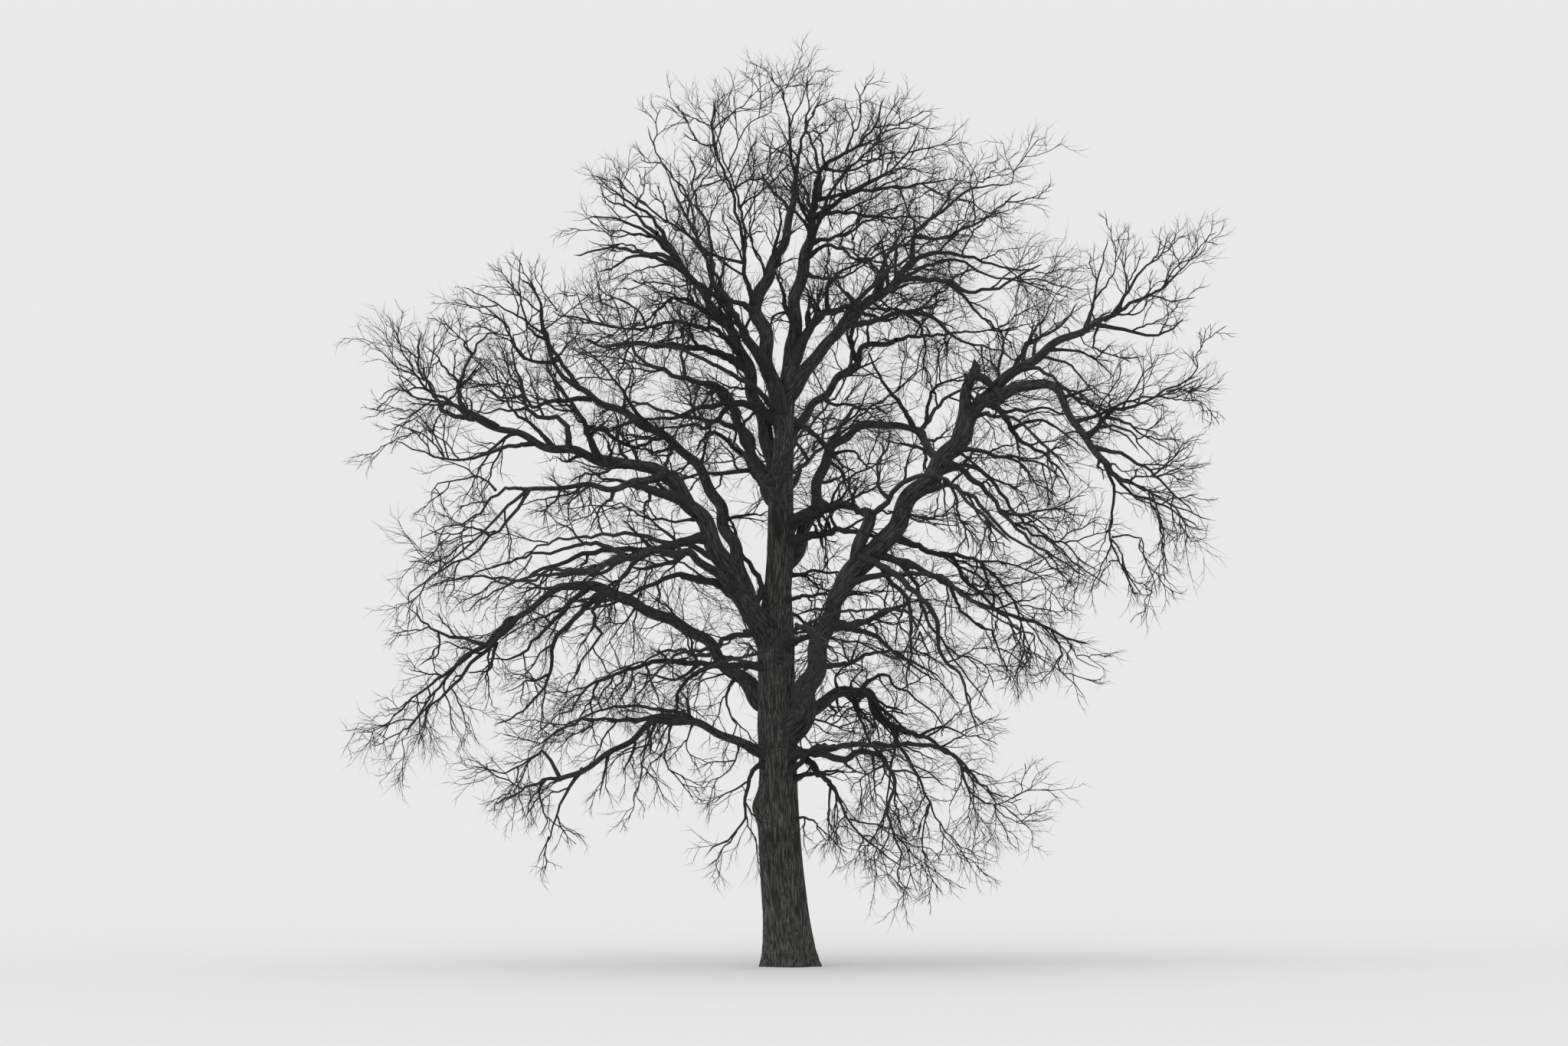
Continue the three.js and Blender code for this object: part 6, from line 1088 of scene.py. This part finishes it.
def joined(parts):
    return {key: np.concatenate([p[key] for p in parts]) for key in parts[0]}


# A twig's way gets small kinks, more crooked than its straight steps, by chances of its own
def kinkedWay(way, radii, number, kinks, amount):
    chance = Chances(childNumber(number, np.full(len(way), kinkDraws)))
    for _ in range(kinks):
        middle = (way[:, :-1] + way[:, 1:]) / 2
        long = np.linalg.norm(way[:, 1:] - way[:, :-1], axis=2)
        for i in range(middle.shape[1]):
            for axis in range(3):
                middle[:, i, axis] += amount * long[:, i] * (2 * chance.next() - 1)
        fine = np.empty((len(way), way.shape[1] * 2 - 1, 3))
        fine[:, 0::2], fine[:, 1::2] = way, middle
        thick = np.empty(fine.shape[:2])
        thick[:, 0::2], thick[:, 1::2] = radii, (radii[:, :-1] + radii[:, 1:]) / 2
        way, radii = fine, thick
    return way, radii


def sideDirections(heading):
    across = np.where(np.abs(heading[:, 1:2]) > 0.9, [[1.0, 0, 0]], [[0, 1.0, 0]])
    side = np.cross(across, heading)
    side /= np.linalg.norm(side, axis=1)[:, None]
    return side, np.cross(heading, side)


# How far a twig reaches: on a limb by the limb's spread, and on a twig by the twig's length
def reachOf(parents, row, part, order):
    if order == 1:
        least, more, start, span = twigRule["standOff"]
        return parents["spread"][row] * (least + more * np.sin(np.pi * (start + span * part)))
    return (parents["long"][row] * orders[order]["reach"]
            * (twigRule["reachAtFoot"] - twigRule["reachLost"] * part))


def growOrder(parents, order, bare=twigRule["first"], thickest=carrierRule["thickest"]):
    rule = orders[order]
    fewest, most = rule["count"]
    perMetre = rule.get("perMetre", parents.get("perMetre"))
    counts = np.clip(np.round(perMetre * parents["long"]), fewest, most).astype(int)
    row = np.repeat(np.arange(len(counts)), counts)
    child = np.concatenate([np.arange(c) for c in counts])
    number = childNumber(parents["number"][row], child)
    chance = Chances(number)
    goldenPart, goldenTurn = twigRule["golden"]
    part = bare + (1 - bare) * ((0.5 + child * goldenPart) % 1)
    _, heading, _ = placeAlong(parents["straight"][row], parents["thin"][row], part)
    start, _, radius = placeAlong(parents["way"][row], parents["radii"][row], part)
    ownTurn = (parents["number"][row] % np.uint32(628)) / 100      # up to a whole turn, in radians
    turn = child * goldenTurn + chance.span(-twigRule["stray"], twigRule["stray"]) + ownTurn
    angle = chance.span(*rule["angle"])
    side, other = sideDirections(heading)
    heading = (heading * np.cos(angle)[:, None] + side * (np.sin(angle) * np.cos(turn))[:, None]
               + other * (np.sin(angle) * np.sin(turn))[:, None])
    long = reachOf(parents, row, part, order) * chance.span(*twigRule["lengths"])
    straight = [start]
    for _ in range(rule["steps"]):
        bend = np.stack([rule["crook"] * (2 * chance.next() - 1) for _ in range(3)], 1)
        bend[:, 2] += rule["lift"] * parents["lift"][row]
        heading = heading + bend
        heading /= np.linalg.norm(heading, axis=1)[:, None]
        straight.append(straight[-1] + heading * (long / rule["steps"])[:, None])
    straight = np.stack(straight, 1)
    taper = np.linspace(0, 1, rule["steps"] + 1)[None, :]
    foot = np.clip(rule["slim"] * radius, min(rule["foot"], thickest), thickest)
    foot = np.minimum(foot, np.maximum(radius, 1.2 * rule["tip"]))[:, None]     # no thicker than its carrier
    thin = foot + (rule["tip"] - foot) * taper
    way, radii = kinkedWay(straight, thin, number, rule["kinks"], twigRule["kink"])
    passed = {key: parents[key][row] for key in ("owner", "spread", "lift", "piece")}
    return dict(passed, straight=straight, thin=thin, way=way, radii=radii, long=long, number=number)


pieceNames = list(massSpec)


def asParent(carrier, owner, perMetre):
    way, radii = carrier["way"][None], carrier["radii"][None]
    return {"straight": way, "thin": radii, "way": way, "radii": radii, "long": np.array([carrier["long"]]),
            "owner": np.array([owner]), "number": np.array([carrier["number"]], np.uint32),
            "spread": np.array([float(carrier["spread"])]), "lift": np.array([float(carrier["lift"])]),
            "perMetre": perMetre, "piece": np.array([pieceNames.index(carrier["piece"])])}


def firstTwigs(carriers, kind):
    rule = carrierRule[kind]
    thickest = rule.get("thickest", carrierRule["thickest"])
    grown = []
    for i, carrier in enumerate(carriers):
        parent = asParent(carrier, i, rule["perMetre"] * carrier["full"])
        grown.append(growOrder(parent, 1, rule["bare"], thickest))
    grown = joined(grown)
    return kept(grown, twigsFit(grown, kind == "mass"))


boughCarriers = [limb for name, limb in limbs.items() if name not in ("trunk", "broken_stub")]
trunkCarrier = dict(limbs["trunk"], spread=carrierRule["trunk"]["spread"], lift=carrierRule["trunk"]["lift"],
                    full=1, number=seed + drawsOf["trunkTwigs"], piece="crown_front_back",
                    long=lengthOf(limbs["trunk"]["way"]))
grown = {1: joined([firstTwigs(list(stems.values()), "mass"), firstTwigs(list(branches.values()), "branch"),
                    firstTwigs(boughCarriers, "bough"), firstTwigs([trunkCarrier], "trunk")])}
for order in (2, 3, 4):
    twigs = growOrder(grown[order - 1], order)
    inside = np.all((twigs["way"] > boxLow) & (twigs["way"] < boxHigh), axis=(1, 2))
    grown[order] = kept(twigs, inside if order > 2 else twigsFit(twigs, False))
print("twigs by order:", {order: len(twigs["long"]) for order, twigs in grown.items()})


# Meshes from arrays
def meshObject(name, vertices, faces, material, smooth=True, floats=None, vectors=None):
    mesh = bpy.data.meshes.new(name)
    sides = faces.shape[1]
    mesh.vertices.add(len(vertices))
    mesh.vertices.foreach_set("co", np.ascontiguousarray(vertices, np.float32).ravel())
    mesh.loops.add(faces.size)
    mesh.loops.foreach_set("vertex_index", np.ascontiguousarray(faces, np.int32).ravel())
    mesh.polygons.add(len(faces))
    mesh.polygons.foreach_set("loop_start", np.arange(0, faces.size, sides, dtype=np.int32))
    mesh.polygons.foreach_set("use_smooth", np.full(len(faces), smooth))
    mesh.update(calc_edges=True)
    for key, values in (floats or {}).items():
        mesh.attributes.new(key, "FLOAT", "POINT").data.foreach_set("value", values.astype(np.float32))
    for key, values in (vectors or {}).items():
        mesh.attributes.new(key, "FLOAT_VECTOR", "POINT").data.foreach_set(
            "vector", values.astype(np.float32).ravel())
    mesh.materials.append(material)
    thing = bpy.data.objects.new(name, mesh)
    bpy.context.scene.collection.objects.link(thing)
    return thing


# Side directions along many ways at once, each turned from the last so that a tube doesn't twist
def turnedSides(way):
    ahead = np.empty_like(way)
    ahead[:, 1:-1] = way[:, 2:] - way[:, :-2]
    ahead[:, 0] = way[:, 1] - way[:, 0]
    ahead[:, -1] = way[:, -1] - way[:, -2]
    ahead /= np.linalg.norm(ahead, axis=2)[..., None]
    side = np.empty_like(way)
    side[:, 0], _ = sideDirections(ahead[:, 0])
    for i in range(1, way.shape[1]):
        turned = side[:, i - 1] - ahead[:, i] * (side[:, i - 1] * ahead[:, i]).sum(1)[:, None]
        side[:, i] = turned / np.linalg.norm(turned, axis=1)[:, None]
    return side, np.cross(ahead, side)


# Many tapering tubes of a few sides, each ending in a point
def tubes(way, radii, sides):
    count, rings = way.shape[:2]
    side, other = turnedSides(way)
    turns = 2 * np.pi * np.arange(sides) / sides
    ring = (way[:, :-1, None] + radii[:, :-1, None, None]
            * (side[:, :-1, None] * np.cos(turns)[:, None] + other[:, :-1, None] * np.sin(turns)[:, None]))
    vertices = np.concatenate([ring.reshape(count, -1, 3), way[:, -1:]], axis=1)
    perTwig = vertices.shape[1]
    faces = []
    for i in range(rings - 2):
        for k in range(sides):
            a, b = i * sides + k, i * sides + (k + 1) % sides
            faces += [(a, b, b + sides), (a, b + sides, a + sides)]
    base = (rings - 2) * sides
    faces += [(base + k, base + (k + 1) % sides, perTwig - 1) for k in range(sides)]
    faces = (np.array(faces)[None] + (np.arange(count) * perTwig)[:, None, None]).reshape(-1, 3)
    return vertices.reshape(-1, 3), faces


def stacked(parts):
    vertices, faces, offset = [], [], 0
    for points, corners in parts:
        vertices.append(points)
        faces.append(corners + offset)
        offset += len(points)
    return np.concatenate(vertices), np.concatenate(faces)


# Bark relief: long interlacing ridges, the borders of stretched cells
barkSpec = {
    "ridge": 0.045,           # metres across a ridge on the trunk
    "stretch": 16.0,          # how much longer a ridge is than it is wide
    "depth": 0.018,           # furrow depth on the trunk
    "fullAt": 0.45,           # radius in metres at which ridges and furrows have these sizes
    "depthPower": 0.75,       # how fast the furrows grow shallow on thinner limbs
    "evenAt": 0.8,            # the ridge height that leaves a limb as thick as it is named
    "bend": 0.35,             # how far the furrows wave, in ridges
    "border": (0.02, 0.26),   # where a furrow's side starts, and how wide it is, in ridges
    "finer": (2.1, 2.1, 3.3), "finerDepth": 0.2,    # small cracks in a ridge, and their part of its height
    "rootThick": 0.7,         # how thick a bough is inside what carries it, beside its foot
    "wander": 0.04, "wanderEase": 0.8,      # metres a bough strays to each side, and metres until it does
    "wanderWaves": (5.3, 4.1),              # radians a metre
    "oval": (0.05, 2.1), "knobbed": (0.04, 3.3),    # parts out of round, and their turn in radians a metre
    "collar": 0.8,            # how much thicker a thin limb is where it leaves a thick one
    "collarFade": (1.15, 0.12),             # less the thicker the limb beside its carrier, and the least
    "collarLong": 1.6,        # radii that it takes to fade
    "splinters": (0.2, 0.12), "splitSlant": 0.7,        # a broken end's points and its slant, in radii
    "trunkSides": 220, "trunkStep": 0.065,
    "boughSides": 0.02, "boughStep": 0.08,  # metres between a bough's edges, round and along
    "leastSides": 14, "leastRings": 8,
}
# How a limb's end closes: the inner ring's width and rise, and how far a sound or a broken end stands out
endSpec = {
    "inner": 0.55, "innerRise": 0.7, "sound": 0.6, "broken": -0.5,
    "soundRidge": 0.8, "brokenRidge": 0.4,
}


# A seeded chance for a cell's spot; the long constants only mix the bits
def cellChance(cell, axis):
    mixed = (cell[:, 0] * 73856093) ^ (cell[:, 1] * 19349663) ^ (cell[:, 2] * 83492791)
    mixed = mixed ^ ((axis + 1) * 2654435)
    mixed = (mixed ^ (mixed >> 13)) * 1274126177
    return ((mixed ^ (mixed >> 16)) & 0xFFFF) / 2.0 ** 16


# 0 in a furrow, at the border of two cells, and 1 on the ridges inside them
def cellEdges(grain):
    warped = grain.copy()
    warped[:, 0] += barkSpec["bend"] * np.sin(2.3 * grain[:, 2] + 1.7 * grain[:, 1])
    warped[:, 1] += barkSpec["bend"] * np.sin(2.1 * grain[:, 2] - 1.9 * grain[:, 0] + 2.0)
    cell = np.floor(warped).astype(np.int64)
    nearest = np.full(len(grain), 9.0)
    second = np.full(len(grain), 9.0)
    for x in (-1, 0, 1):
        for y in (-1, 0, 1):
            for z in (-1, 0, 1):
                here = cell + np.array([x, y, z])
                spot = here + np.stack([cellChance(here, axis) for axis in range(3)], 1)
                away = np.linalg.norm(spot - warped, axis=1)
                second = np.minimum(second, np.maximum(nearest, away))
                nearest = np.minimum(nearest, away)
    start, wide = barkSpec["border"]
    edge = np.clip((second - nearest - start) / wide, 0, 1)
    return edge * edge * (3 - 2 * edge)


def ridgeHeight(grain):
    plates = cellEdges(grain)
    cracks = cellEdges(grain * barkSpec["finer"] + 7.0)
    return plates * (1 - barkSpec["finerDepth"] + barkSpec["finerDepth"] * cracks)


# Places in the bark's pattern, counted in ridges: across a limb in widths, and along it in lengths
def grainOf(radius, turn, along, ridge):
    lengths = np.broadcast_to(along / (ridge * barkSpec["stretch"]), radius.shape)
    widths = radius * np.cos(turn) / ridge, radius * np.sin(turn) / ridge
    return np.stack([*widths, lengths], -1).reshape(-1, 3)


def gridFaces(rings, sides):
    ring, side = np.meshgrid(np.arange(rings - 1), np.arange(sides), indexing="ij")
    here, beside = ring * sides + side, ring * sides + (side + 1) % sides
    return np.stack([here, beside, beside + sides, here + sides], -1).reshape(-1, 4)


def trunkSurface(spec, trunk):
    sides = barkSpec["trunkSides"]
    top = trunk["way"][-1][2]
    rings = int(top / barkSpec["trunkStep"])
    height = np.linspace(0, top, rings)
    middle = np.stack([np.interp(height, trunk["way"][:, 2], trunk["way"][:, axis]) for axis in range(3)], 1)
    levels, halves = zip(*spec["girth"])
    half = np.interp(height, levels, halves)[:, None]
    turn = (2 * np.pi * np.arange(sides) / sides)[None, :]
    tall = height[:, None]
    toes = 0.5 + 0.5 * np.cos(spec["toes"] * turn + 0.9 + 0.5 * np.sin(2 * turn))
    flare = spec["flareOut"] * np.exp(-tall / spec["flareRise"]) * (0.25 + toes)
    offBurl = np.maximum(0, np.cos(turn - spec["burlSide"]))
    burl = spec["burlOut"] * np.exp(-((tall - spec["burlHeight"]) / spec["burlTall"]) ** 2) * offBurl ** 2
    waist = (spec["hollowed"] * np.sin(3 * turn + tall * 1.3)
             + spec["leaning"] * np.cos(2 * turn - tall * 0.8))
    radius = half + flare + burl + waist
    grain = grainOf(radius, turn, tall, barkSpec["ridge"])
    high = ridgeHeight(grain).reshape(radius.shape)
    radius = radius + barkSpec["depth"] * (high - barkSpec["evenAt"])
    vertices = np.stack([middle[:, :1] + radius * np.cos(turn), middle[:, 1:2] + radius * np.sin(turn),
                         np.broadcast_to(tall, radius.shape)], -1).reshape(-1, 3)
    return vertices, gridFaces(rings, sides), high.ravel(), grain, sides


# A limb swells where it leaves what carries it: a thin one more, a thick one over a longer way
def collarAt(way, foot, carrier):
    away, part = distancesTo(way, carrier["way"][:-1], carrier["way"][1:])
    seat = carrier["radii"][:-1] * (1 - part) + carrier["radii"][1:] * part
    nearest = away.argmin(1)
    rows = np.arange(len(way))
    out = away[rows, nearest] - seat[rows, nearest]
    share = foot / seat[rows, nearest]
    most, least = barkSpec["collarFade"]
    swell = barkSpec["collar"] * np.clip(most - share, least, 1)
    return 1 + swell * np.exp(-np.abs(out) / (barkSpec["collarLong"] * foot * (1 + share))), out


def boughSurface(limb, broken):
    whole = np.vstack([limb["root"], limb["way"]])
    thick = np.concatenate([[limb["radii"][0] * barkSpec["rootThick"]], limb["radii"]])
    rings = max(barkSpec["leastRings"], int(lengthOf(whole) / barkSpec["boughStep"]))
    places = np.linspace(0, 1, rings)
    way = smoothWay(whole, places)
    radii = np.interp(places * (len(thick) - 1), np.arange(len(thick)), thick)
    sides = max(barkSpec["leastSides"], int(2 * np.pi * radii.max() / barkSpec["boughSides"]))
    along = np.concatenate([[0], np.cumsum(np.linalg.norm(np.diff(way, axis=0), axis=1))])
    out = along - twigRule["rooted"]
    side, other = turnedSides(way[None])
    eased = np.clip(out / barkSpec["wanderEase"], 0, 1)[:, None] * barkSpec["wander"]
    waveSide, waveOther = barkSpec["wanderWaves"]
    way = (way + eased * side[0] * np.sin(along * waveSide + limb["long"])[:, None]
           + eased * other[0] * np.sin(along * waveOther + 2 * limb["long"])[:, None])
    collar, _ = collarAt(way, limb["radii"][0], limb["carrier"])
    ridge = barkSpec["ridge"] * math.sqrt(radii.mean() / barkSpec["fullAt"])
    turn = (2 * np.pi * np.arange(sides) / sides)[None, :]
    (oval, ovalTurn), (knobbed, knobTurn) = barkSpec["oval"], barkSpec["knobbed"]
    radius = (radii * collar)[:, None] * (1 + oval * np.sin(2 * turn + along[:, None] * ovalTurn)
                                          + knobbed * np.sin(3 * turn - along[:, None] * knobTurn))
    grain = grainOf(radius, turn, along[:, None], ridge) + len(limb["name"])     # its own stretch of bark
    high = ridgeHeight(grain).reshape(radius.shape)
    depth = barkSpec["depth"] * (radii[:, None] / barkSpec["fullAt"]) ** barkSpec["depthPower"]
    radius = radius + depth * (high - barkSpec["evenAt"])
    side, other = turnedSides(way[None])
    vertices = (way[:, None] + radius[..., None] * (side[0][:, None] * np.cos(turn)[..., None]
                                                   + other[0][:, None] * np.sin(turn)[..., None]))
    if broken:
        ahead = np.cross(side[0][-1], other[0][-1])
        coarse, fine = barkSpec["splinters"]
        splinter = radii[-1] * (coarse * np.sin(turn[0] * 5) + fine * np.sin(turn[0] * 11)
                                - barkSpec["splitSlant"] * np.cos(turn[0]))
        vertices[-1] += ahead * splinter[:, None]
        vertices[-2] += ahead * splinter[:, None] * 0.5
    return vertices.reshape(-1, 3), gridFaces(rings, sides), high.ravel(), grain, sides


def asTriangles(quads):
    return np.concatenate([quads[:, [0, 1, 2]], quads[:, [0, 2, 3]]])


# A limb's end is drawn in to a low dome, or to a hollow where the wood broke
def withEnd(surface, broken):
    vertices, faces, high, grain, sides = surface
    closing = endSpec["broken" if broken else "sound"]
    lastRing = vertices[-sides:]
    centre = lastRing.mean(0)
    ahead = centre - vertices[-2 * sides:-sides].mean(0)
    ahead /= np.linalg.norm(ahead)
    half = np.linalg.norm(lastRing - centre, axis=1).mean()
    count = len(vertices)
    inner = centre + (lastRing - centre) * endSpec["inner"] + ahead * closing * half * endSpec["innerRise"]
    middle = centre + ahead * closing * half
    ring = np.arange(sides)
    nextRing = (ring + 1) % sides
    last = count - sides
    joining = np.stack([last + ring, last + nextRing, count + nextRing, count + ring], 1)
    fan = np.stack([count + ring, count + nextRing, np.full(sides, count + sides)], 1)
    vertices = np.concatenate([vertices, inner, middle[None]])
    extraHigh = np.full(sides + 1, endSpec["brokenRidge" if broken else "soundRidge"])
    extraGrain = np.concatenate([grain[-sides:] * endSpec["inner"], grain[-1:]])
    triangles = np.concatenate([asTriangles(np.concatenate([faces, joining])), fan])
    return vertices, triangles, np.concatenate([high, extraHigh]), np.concatenate([grain, extraGrain])


def limbParts(names):
    vertices, faces, highs, grains, offset = [], [], [], [], 0
    for name in names:
        if name == "trunk":
            surface = trunkSurface(trunkSpec, limbs[name])
            broken = False
        else:
            broken = boughSpec[name].get("broken", False)
            surface = boughSurface(limbs[name], broken)
        points, triangles, high, grain = withEnd(surface, broken)
        vertices.append(points)
        faces.append(triangles + offset)
        highs.append(high)
        grains.append(grain)
        offset += len(points)
    return np.concatenate(vertices), np.concatenate(faces), np.concatenate(highs), np.concatenate(grains)


# Materials
def linear(hexColour):
    channels = [int(hexColour[i:i + 2], 16) / 255 for i in (1, 3, 5)]
    return tuple(c / 12.92 if c <= 0.04045 else ((c + 0.055) / 1.055) ** 2.4 for c in channels) + (1.0,)


def addNode(tree, kind, settings=None, **links):
    made = tree.nodes.new(kind)
    for key, value in (settings or {}).items():
        if isinstance(key, int) or key in made.inputs:
            made.inputs[key].default_value = value
        else:
            setattr(made, key, value)
    for key, source in links.items():
        tree.links.new(source, made.inputs[int(key[2:]) if key.startswith("in") else key])
    return made


barkLook = {
    # The furrow tone is painted shade in the furrows and cracks; ridge and weathered are the bark's own
    # tones
    "ridge": "#6a6a68", "furrowShade": "#232322", "weathered": "#5e5e5c",
    "fissure": 24.0,          # mm between the thin cracks that split a ridge lengthwise, painted dark as shade
    "crack": 10.0,            # mm of the fine grain of a ridge
    "grit": 6.0,              # mm of relief in that grain
    "patch": 0.35,            # weathered patches to one ridge's width
    "roughness": 0.92, "gloss": 0.25,
}


# Furrowed bark of an old broad-leaved tree: dull grey ridges over furrows painted near-black as shade, with
# no gloss
def furrowedBark(name, look):
    material = bpy.data.materials.new(name)
    material.use_nodes = True
    tree = material.node_tree
    shader = tree.nodes["Principled BSDF"]
    shader.inputs["Roughness"].default_value = look["roughness"]
    shader.inputs["Specular IOR Level"].default_value = look["gloss"]
    ridgeMm = barkSpec["ridge"] * 1000
    high = addNode(tree, "ShaderNodeAttribute", {"attribute_name": "ridge"})
    grain = addNode(tree, "ShaderNodeAttribute", {"attribute_name": "grain"})
    patches = addNode(tree, "ShaderNodeTexNoise", {"Scale": look["patch"], "Detail": 3.0},
                      Vector=grain.outputs["Vector"])
    cracks = addNode(tree, "ShaderNodeTexNoise",
                     {"Scale": ridgeMm / look["crack"], "Detail": 4.0, "Roughness": 0.65},
                     Vector=grain.outputs["Vector"])
    depth = addNode(tree, "ShaderNodeMath", {"operation": "MULTIPLY_ADD", 1: 0.4, 2: -0.2},
                    in0=cracks.outputs["Fac"])
    raised = addNode(tree, "ShaderNodeMath", {"operation": "ADD", "use_clamp": True},
                     in0=high.outputs["Fac"], in1=depth.outputs["Value"])
    strayed = addNode(tree, "ShaderNodeMix", {"data_type": "RGBA", "blend_type": "ADD", 0: 0.5},
                      in6=grain.outputs["Vector"], in7=cracks.outputs["Color"])
    fissures = addNode(tree, "ShaderNodeTexVoronoi",
                       {"feature": "DISTANCE_TO_EDGE", "Scale": ridgeMm / look["fissure"]},
                       Vector=strayed.outputs[2])
    # Painted shade in the cracks: near them the colour darkens towards the furrow tone, and the bump sinks
    split = addNode(tree, "ShaderNodeMath",
                    {"operation": "MULTIPLY_ADD", "use_clamp": True, 1: 5.0, 2: 0.15},
                    in0=fissures.outputs["Distance"])
    lit = addNode(tree, "ShaderNodeMath", {"operation": "MULTIPLY"},
                  in0=raised.outputs["Value"], in1=split.outputs["Value"])
    ridges = addNode(tree, "ShaderNodeMix", {"data_type": "RGBA"}, in0=patches.outputs["Fac"])
    ridges.inputs[6].default_value = linear(look["weathered"])
    ridges.inputs[7].default_value = linear(look["ridge"])
    # Painted shade: furrows and cracks darken towards the furrow shade tone, ridges keep their own tones
    colour = addNode(tree, "ShaderNodeMix", {"data_type": "RGBA"}, in0=lit.outputs["Value"],
                     in7=ridges.outputs[2])
    colour.inputs[6].default_value = linear(look["furrowShade"])
    tree.links.new(colour.outputs[2], shader.inputs["Base Color"])
    bump = addNode(tree, "ShaderNodeBump", {"Strength": 0.6, "Distance": look["grit"] / 1000},
                   Height=lit.outputs["Value"])
    tree.links.new(bump.outputs["Normal"], shader.inputs["Normal"])
    return material


twigLook = {
    "bark": "#2b2b2a", "duller": 0.6, "paler": 1.45,    # the bark's tone, and how far it weathers both ways
    "patch": 90.0,                                      # mm across a weathered patch
    "roughness": 0.85, "gloss": 0.3,
}


# Young bark: smooth and dark, duller and paler by patches, with nothing as deep as a furrow
def twigBark(name, look):
    material = bpy.data.materials.new(name)
    material.use_nodes = True
    tree = material.node_tree
    shader = tree.nodes["Principled BSDF"]
    shader.inputs["Roughness"].default_value = look["roughness"]
    shader.inputs["Specular IOR Level"].default_value = look["gloss"]
    place = addNode(tree, "ShaderNodeTexCoord")
    patches = addNode(tree, "ShaderNodeTexNoise", {"Scale": 1000 / look["patch"], "Detail": 2.0},
                      Vector=place.outputs["Object"])
    colour = addNode(tree, "ShaderNodeMix", {"data_type": "RGBA"}, in0=patches.outputs["Fac"])
    bark = linear(look["bark"])[:3]
    colour.inputs[6].default_value = tuple(c * look["duller"] for c in bark) + (1.0,)
    colour.inputs[7].default_value = tuple(c * look["paler"] for c in bark) + (1.0,)
    tree.links.new(colour.outputs[2], shader.inputs["Base Color"])
    return material


# The boughs' bark is darker, and its furrow tone is painted shade, as on the trunk
limbLook = dict(barkLook, ridge="#5c5c5a", weathered="#4c4c4b", furrowShade="#1c1c1c")
trunkBark = furrowedBark("oldFurrowedBark", barkLook)
boughBark = furrowedBark("limbBark", limbLook)
youngBark = twigBark("youngBark", twigLook)
print("materials made")

vertices, faces, high, grain = limbParts(["trunk"])
trunkPiece = meshObject("trunk_bark", vertices, faces, trunkBark, True, {"ridge": high}, {"grain": grain})
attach(trunkPiece, "root")
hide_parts("trunk")
print("trunk:", len(faces), "triangles")

vertices, faces, high, grain = limbParts(list(boughSpec))
boughPiece = meshObject("boughs_bark", vertices, faces, boughBark, True, {"ridge": high}, {"grain": grain})
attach(boughPiece, "root")
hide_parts(*boughSpec)
print("boughs:", len(faces), "triangles")


# Twig pieces: each joins the stems, branches and twigs of a region's masses
tubeSpec = {
    "step": 0.36, "leastRings": 8,              # metres between a stem's rings
    "collarRings": [-1.5, -0.5, 0.5, 1.5, 3, 5],    # closer rings where it leaves its carrier, in radii
    "stemSides": 7, "firstSides": 5, "twigSides": 3,
    "stemKink": 0.12,
}


def stemTube(stem):
    foot = stem["radii"][0]
    fine = np.linspace(0, 1, 200)
    _, out = collarAt(smoothWay(stem["way"], fine), foot, stem["carrier"])
    leaves = fine[np.argmax(out > 0)]
    near = leaves + np.array(tubeSpec["collarRings"]) * foot / stem["long"]
    even = np.linspace(0, 1, max(tubeSpec["leastRings"], int(stem["long"] / tubeSpec["step"])))
    even = even[(even < near[0]) | (even > near[-1])]
    places = np.sort(np.concatenate([even, near[(near > 0.001) & (near < 0.999)]]))
    way = smoothWay(stem["way"], places)
    radii = np.interp(places * (len(stem["radii"]) - 1), np.arange(len(stem["radii"])), stem["radii"])
    radii = radii * collarAt(way, foot, stem["carrier"])[0]
    number = np.array([stem["number"]], np.uint32)
    way, radii = kinkedWay(way[None], radii[None], number, 1, tubeSpec["stemKink"])
    return tubes(way, radii, tubeSpec["stemSides"])


def twigTubes(piece):
    parts = []
    for order, twigs in grown.items():
        pick = kept(twigs, twigs["piece"] == piece)
        sides = tubeSpec["firstSides" if order == 1 else "twigSides"]
        parts.append(tubes(pick["way"], pick["radii"], sides))
    return parts


for number, pieceName in enumerate(pieceNames):
    carried = [stem for stem in [*stems.values(), *branches.values()] if stem["piece"] == pieceName]
    vertices, faces = stacked([stemTube(stem) for stem in carried] + twigTubes(number))
    piece = meshObject(pieceName + "_twigs", vertices, faces, youngBark)
    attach(piece, "root")
    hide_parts(*massSpec[pieceName])
    print(pieceName, "twigs:", len(faces), "triangles")

# Stage: a plain pale floor, a pale surround and soft studio light
stageLook = {"floor": "#e8e8e8", "surround": "#e9e9e9", "roughness": 0.95, "size": 900.0}


def plainMaterial(name, colourHex):
    material = bpy.data.materials.new(name)
    material.use_nodes = True
    shader = material.node_tree.nodes["Principled BSDF"]
    shader.inputs["Base Color"].default_value = linear(colourHex)
    shader.inputs["Roughness"].default_value = stageLook["roughness"]
    return material


half = stageLook["size"] / 2
corners = np.array([(-half, -half, 0), (half, -half, 0), (half, half, 0), (-half, half, 0)])
floorPaint = plainMaterial("plainFloor", stageLook["floor"])
floor = meshObject("floor", corners, np.array([[0, 1, 2, 3]]), floorPaint, False)

world = bpy.data.worlds.new("paleSurround")
world.use_nodes = True
surround = world.node_tree.nodes["Background"]
surround.inputs["Color"].default_value = linear(stageLook["surround"])
surround.inputs["Strength"].default_value = 1.0
bpy.context.scene.world = world

lightSpec = {"power": 0.9, "angle": 70.0, "tilt": (50.0, 0.0, -35.0)}      # soft, from the front left
data = bpy.data.lights.new("soft_sun", "SUN")
data.energy = lightSpec["power"]
data.angle = math.radians(lightSpec["angle"])
sun = bpy.data.objects.new("soft_sun", data)
sun.rotation_euler = tuple(math.radians(a) for a in lightSpec["tilt"])
bpy.context.scene.collection.objects.link(sun)
bpy.context.scene.view_settings.view_transform = "Standard"
print("stage and light made")
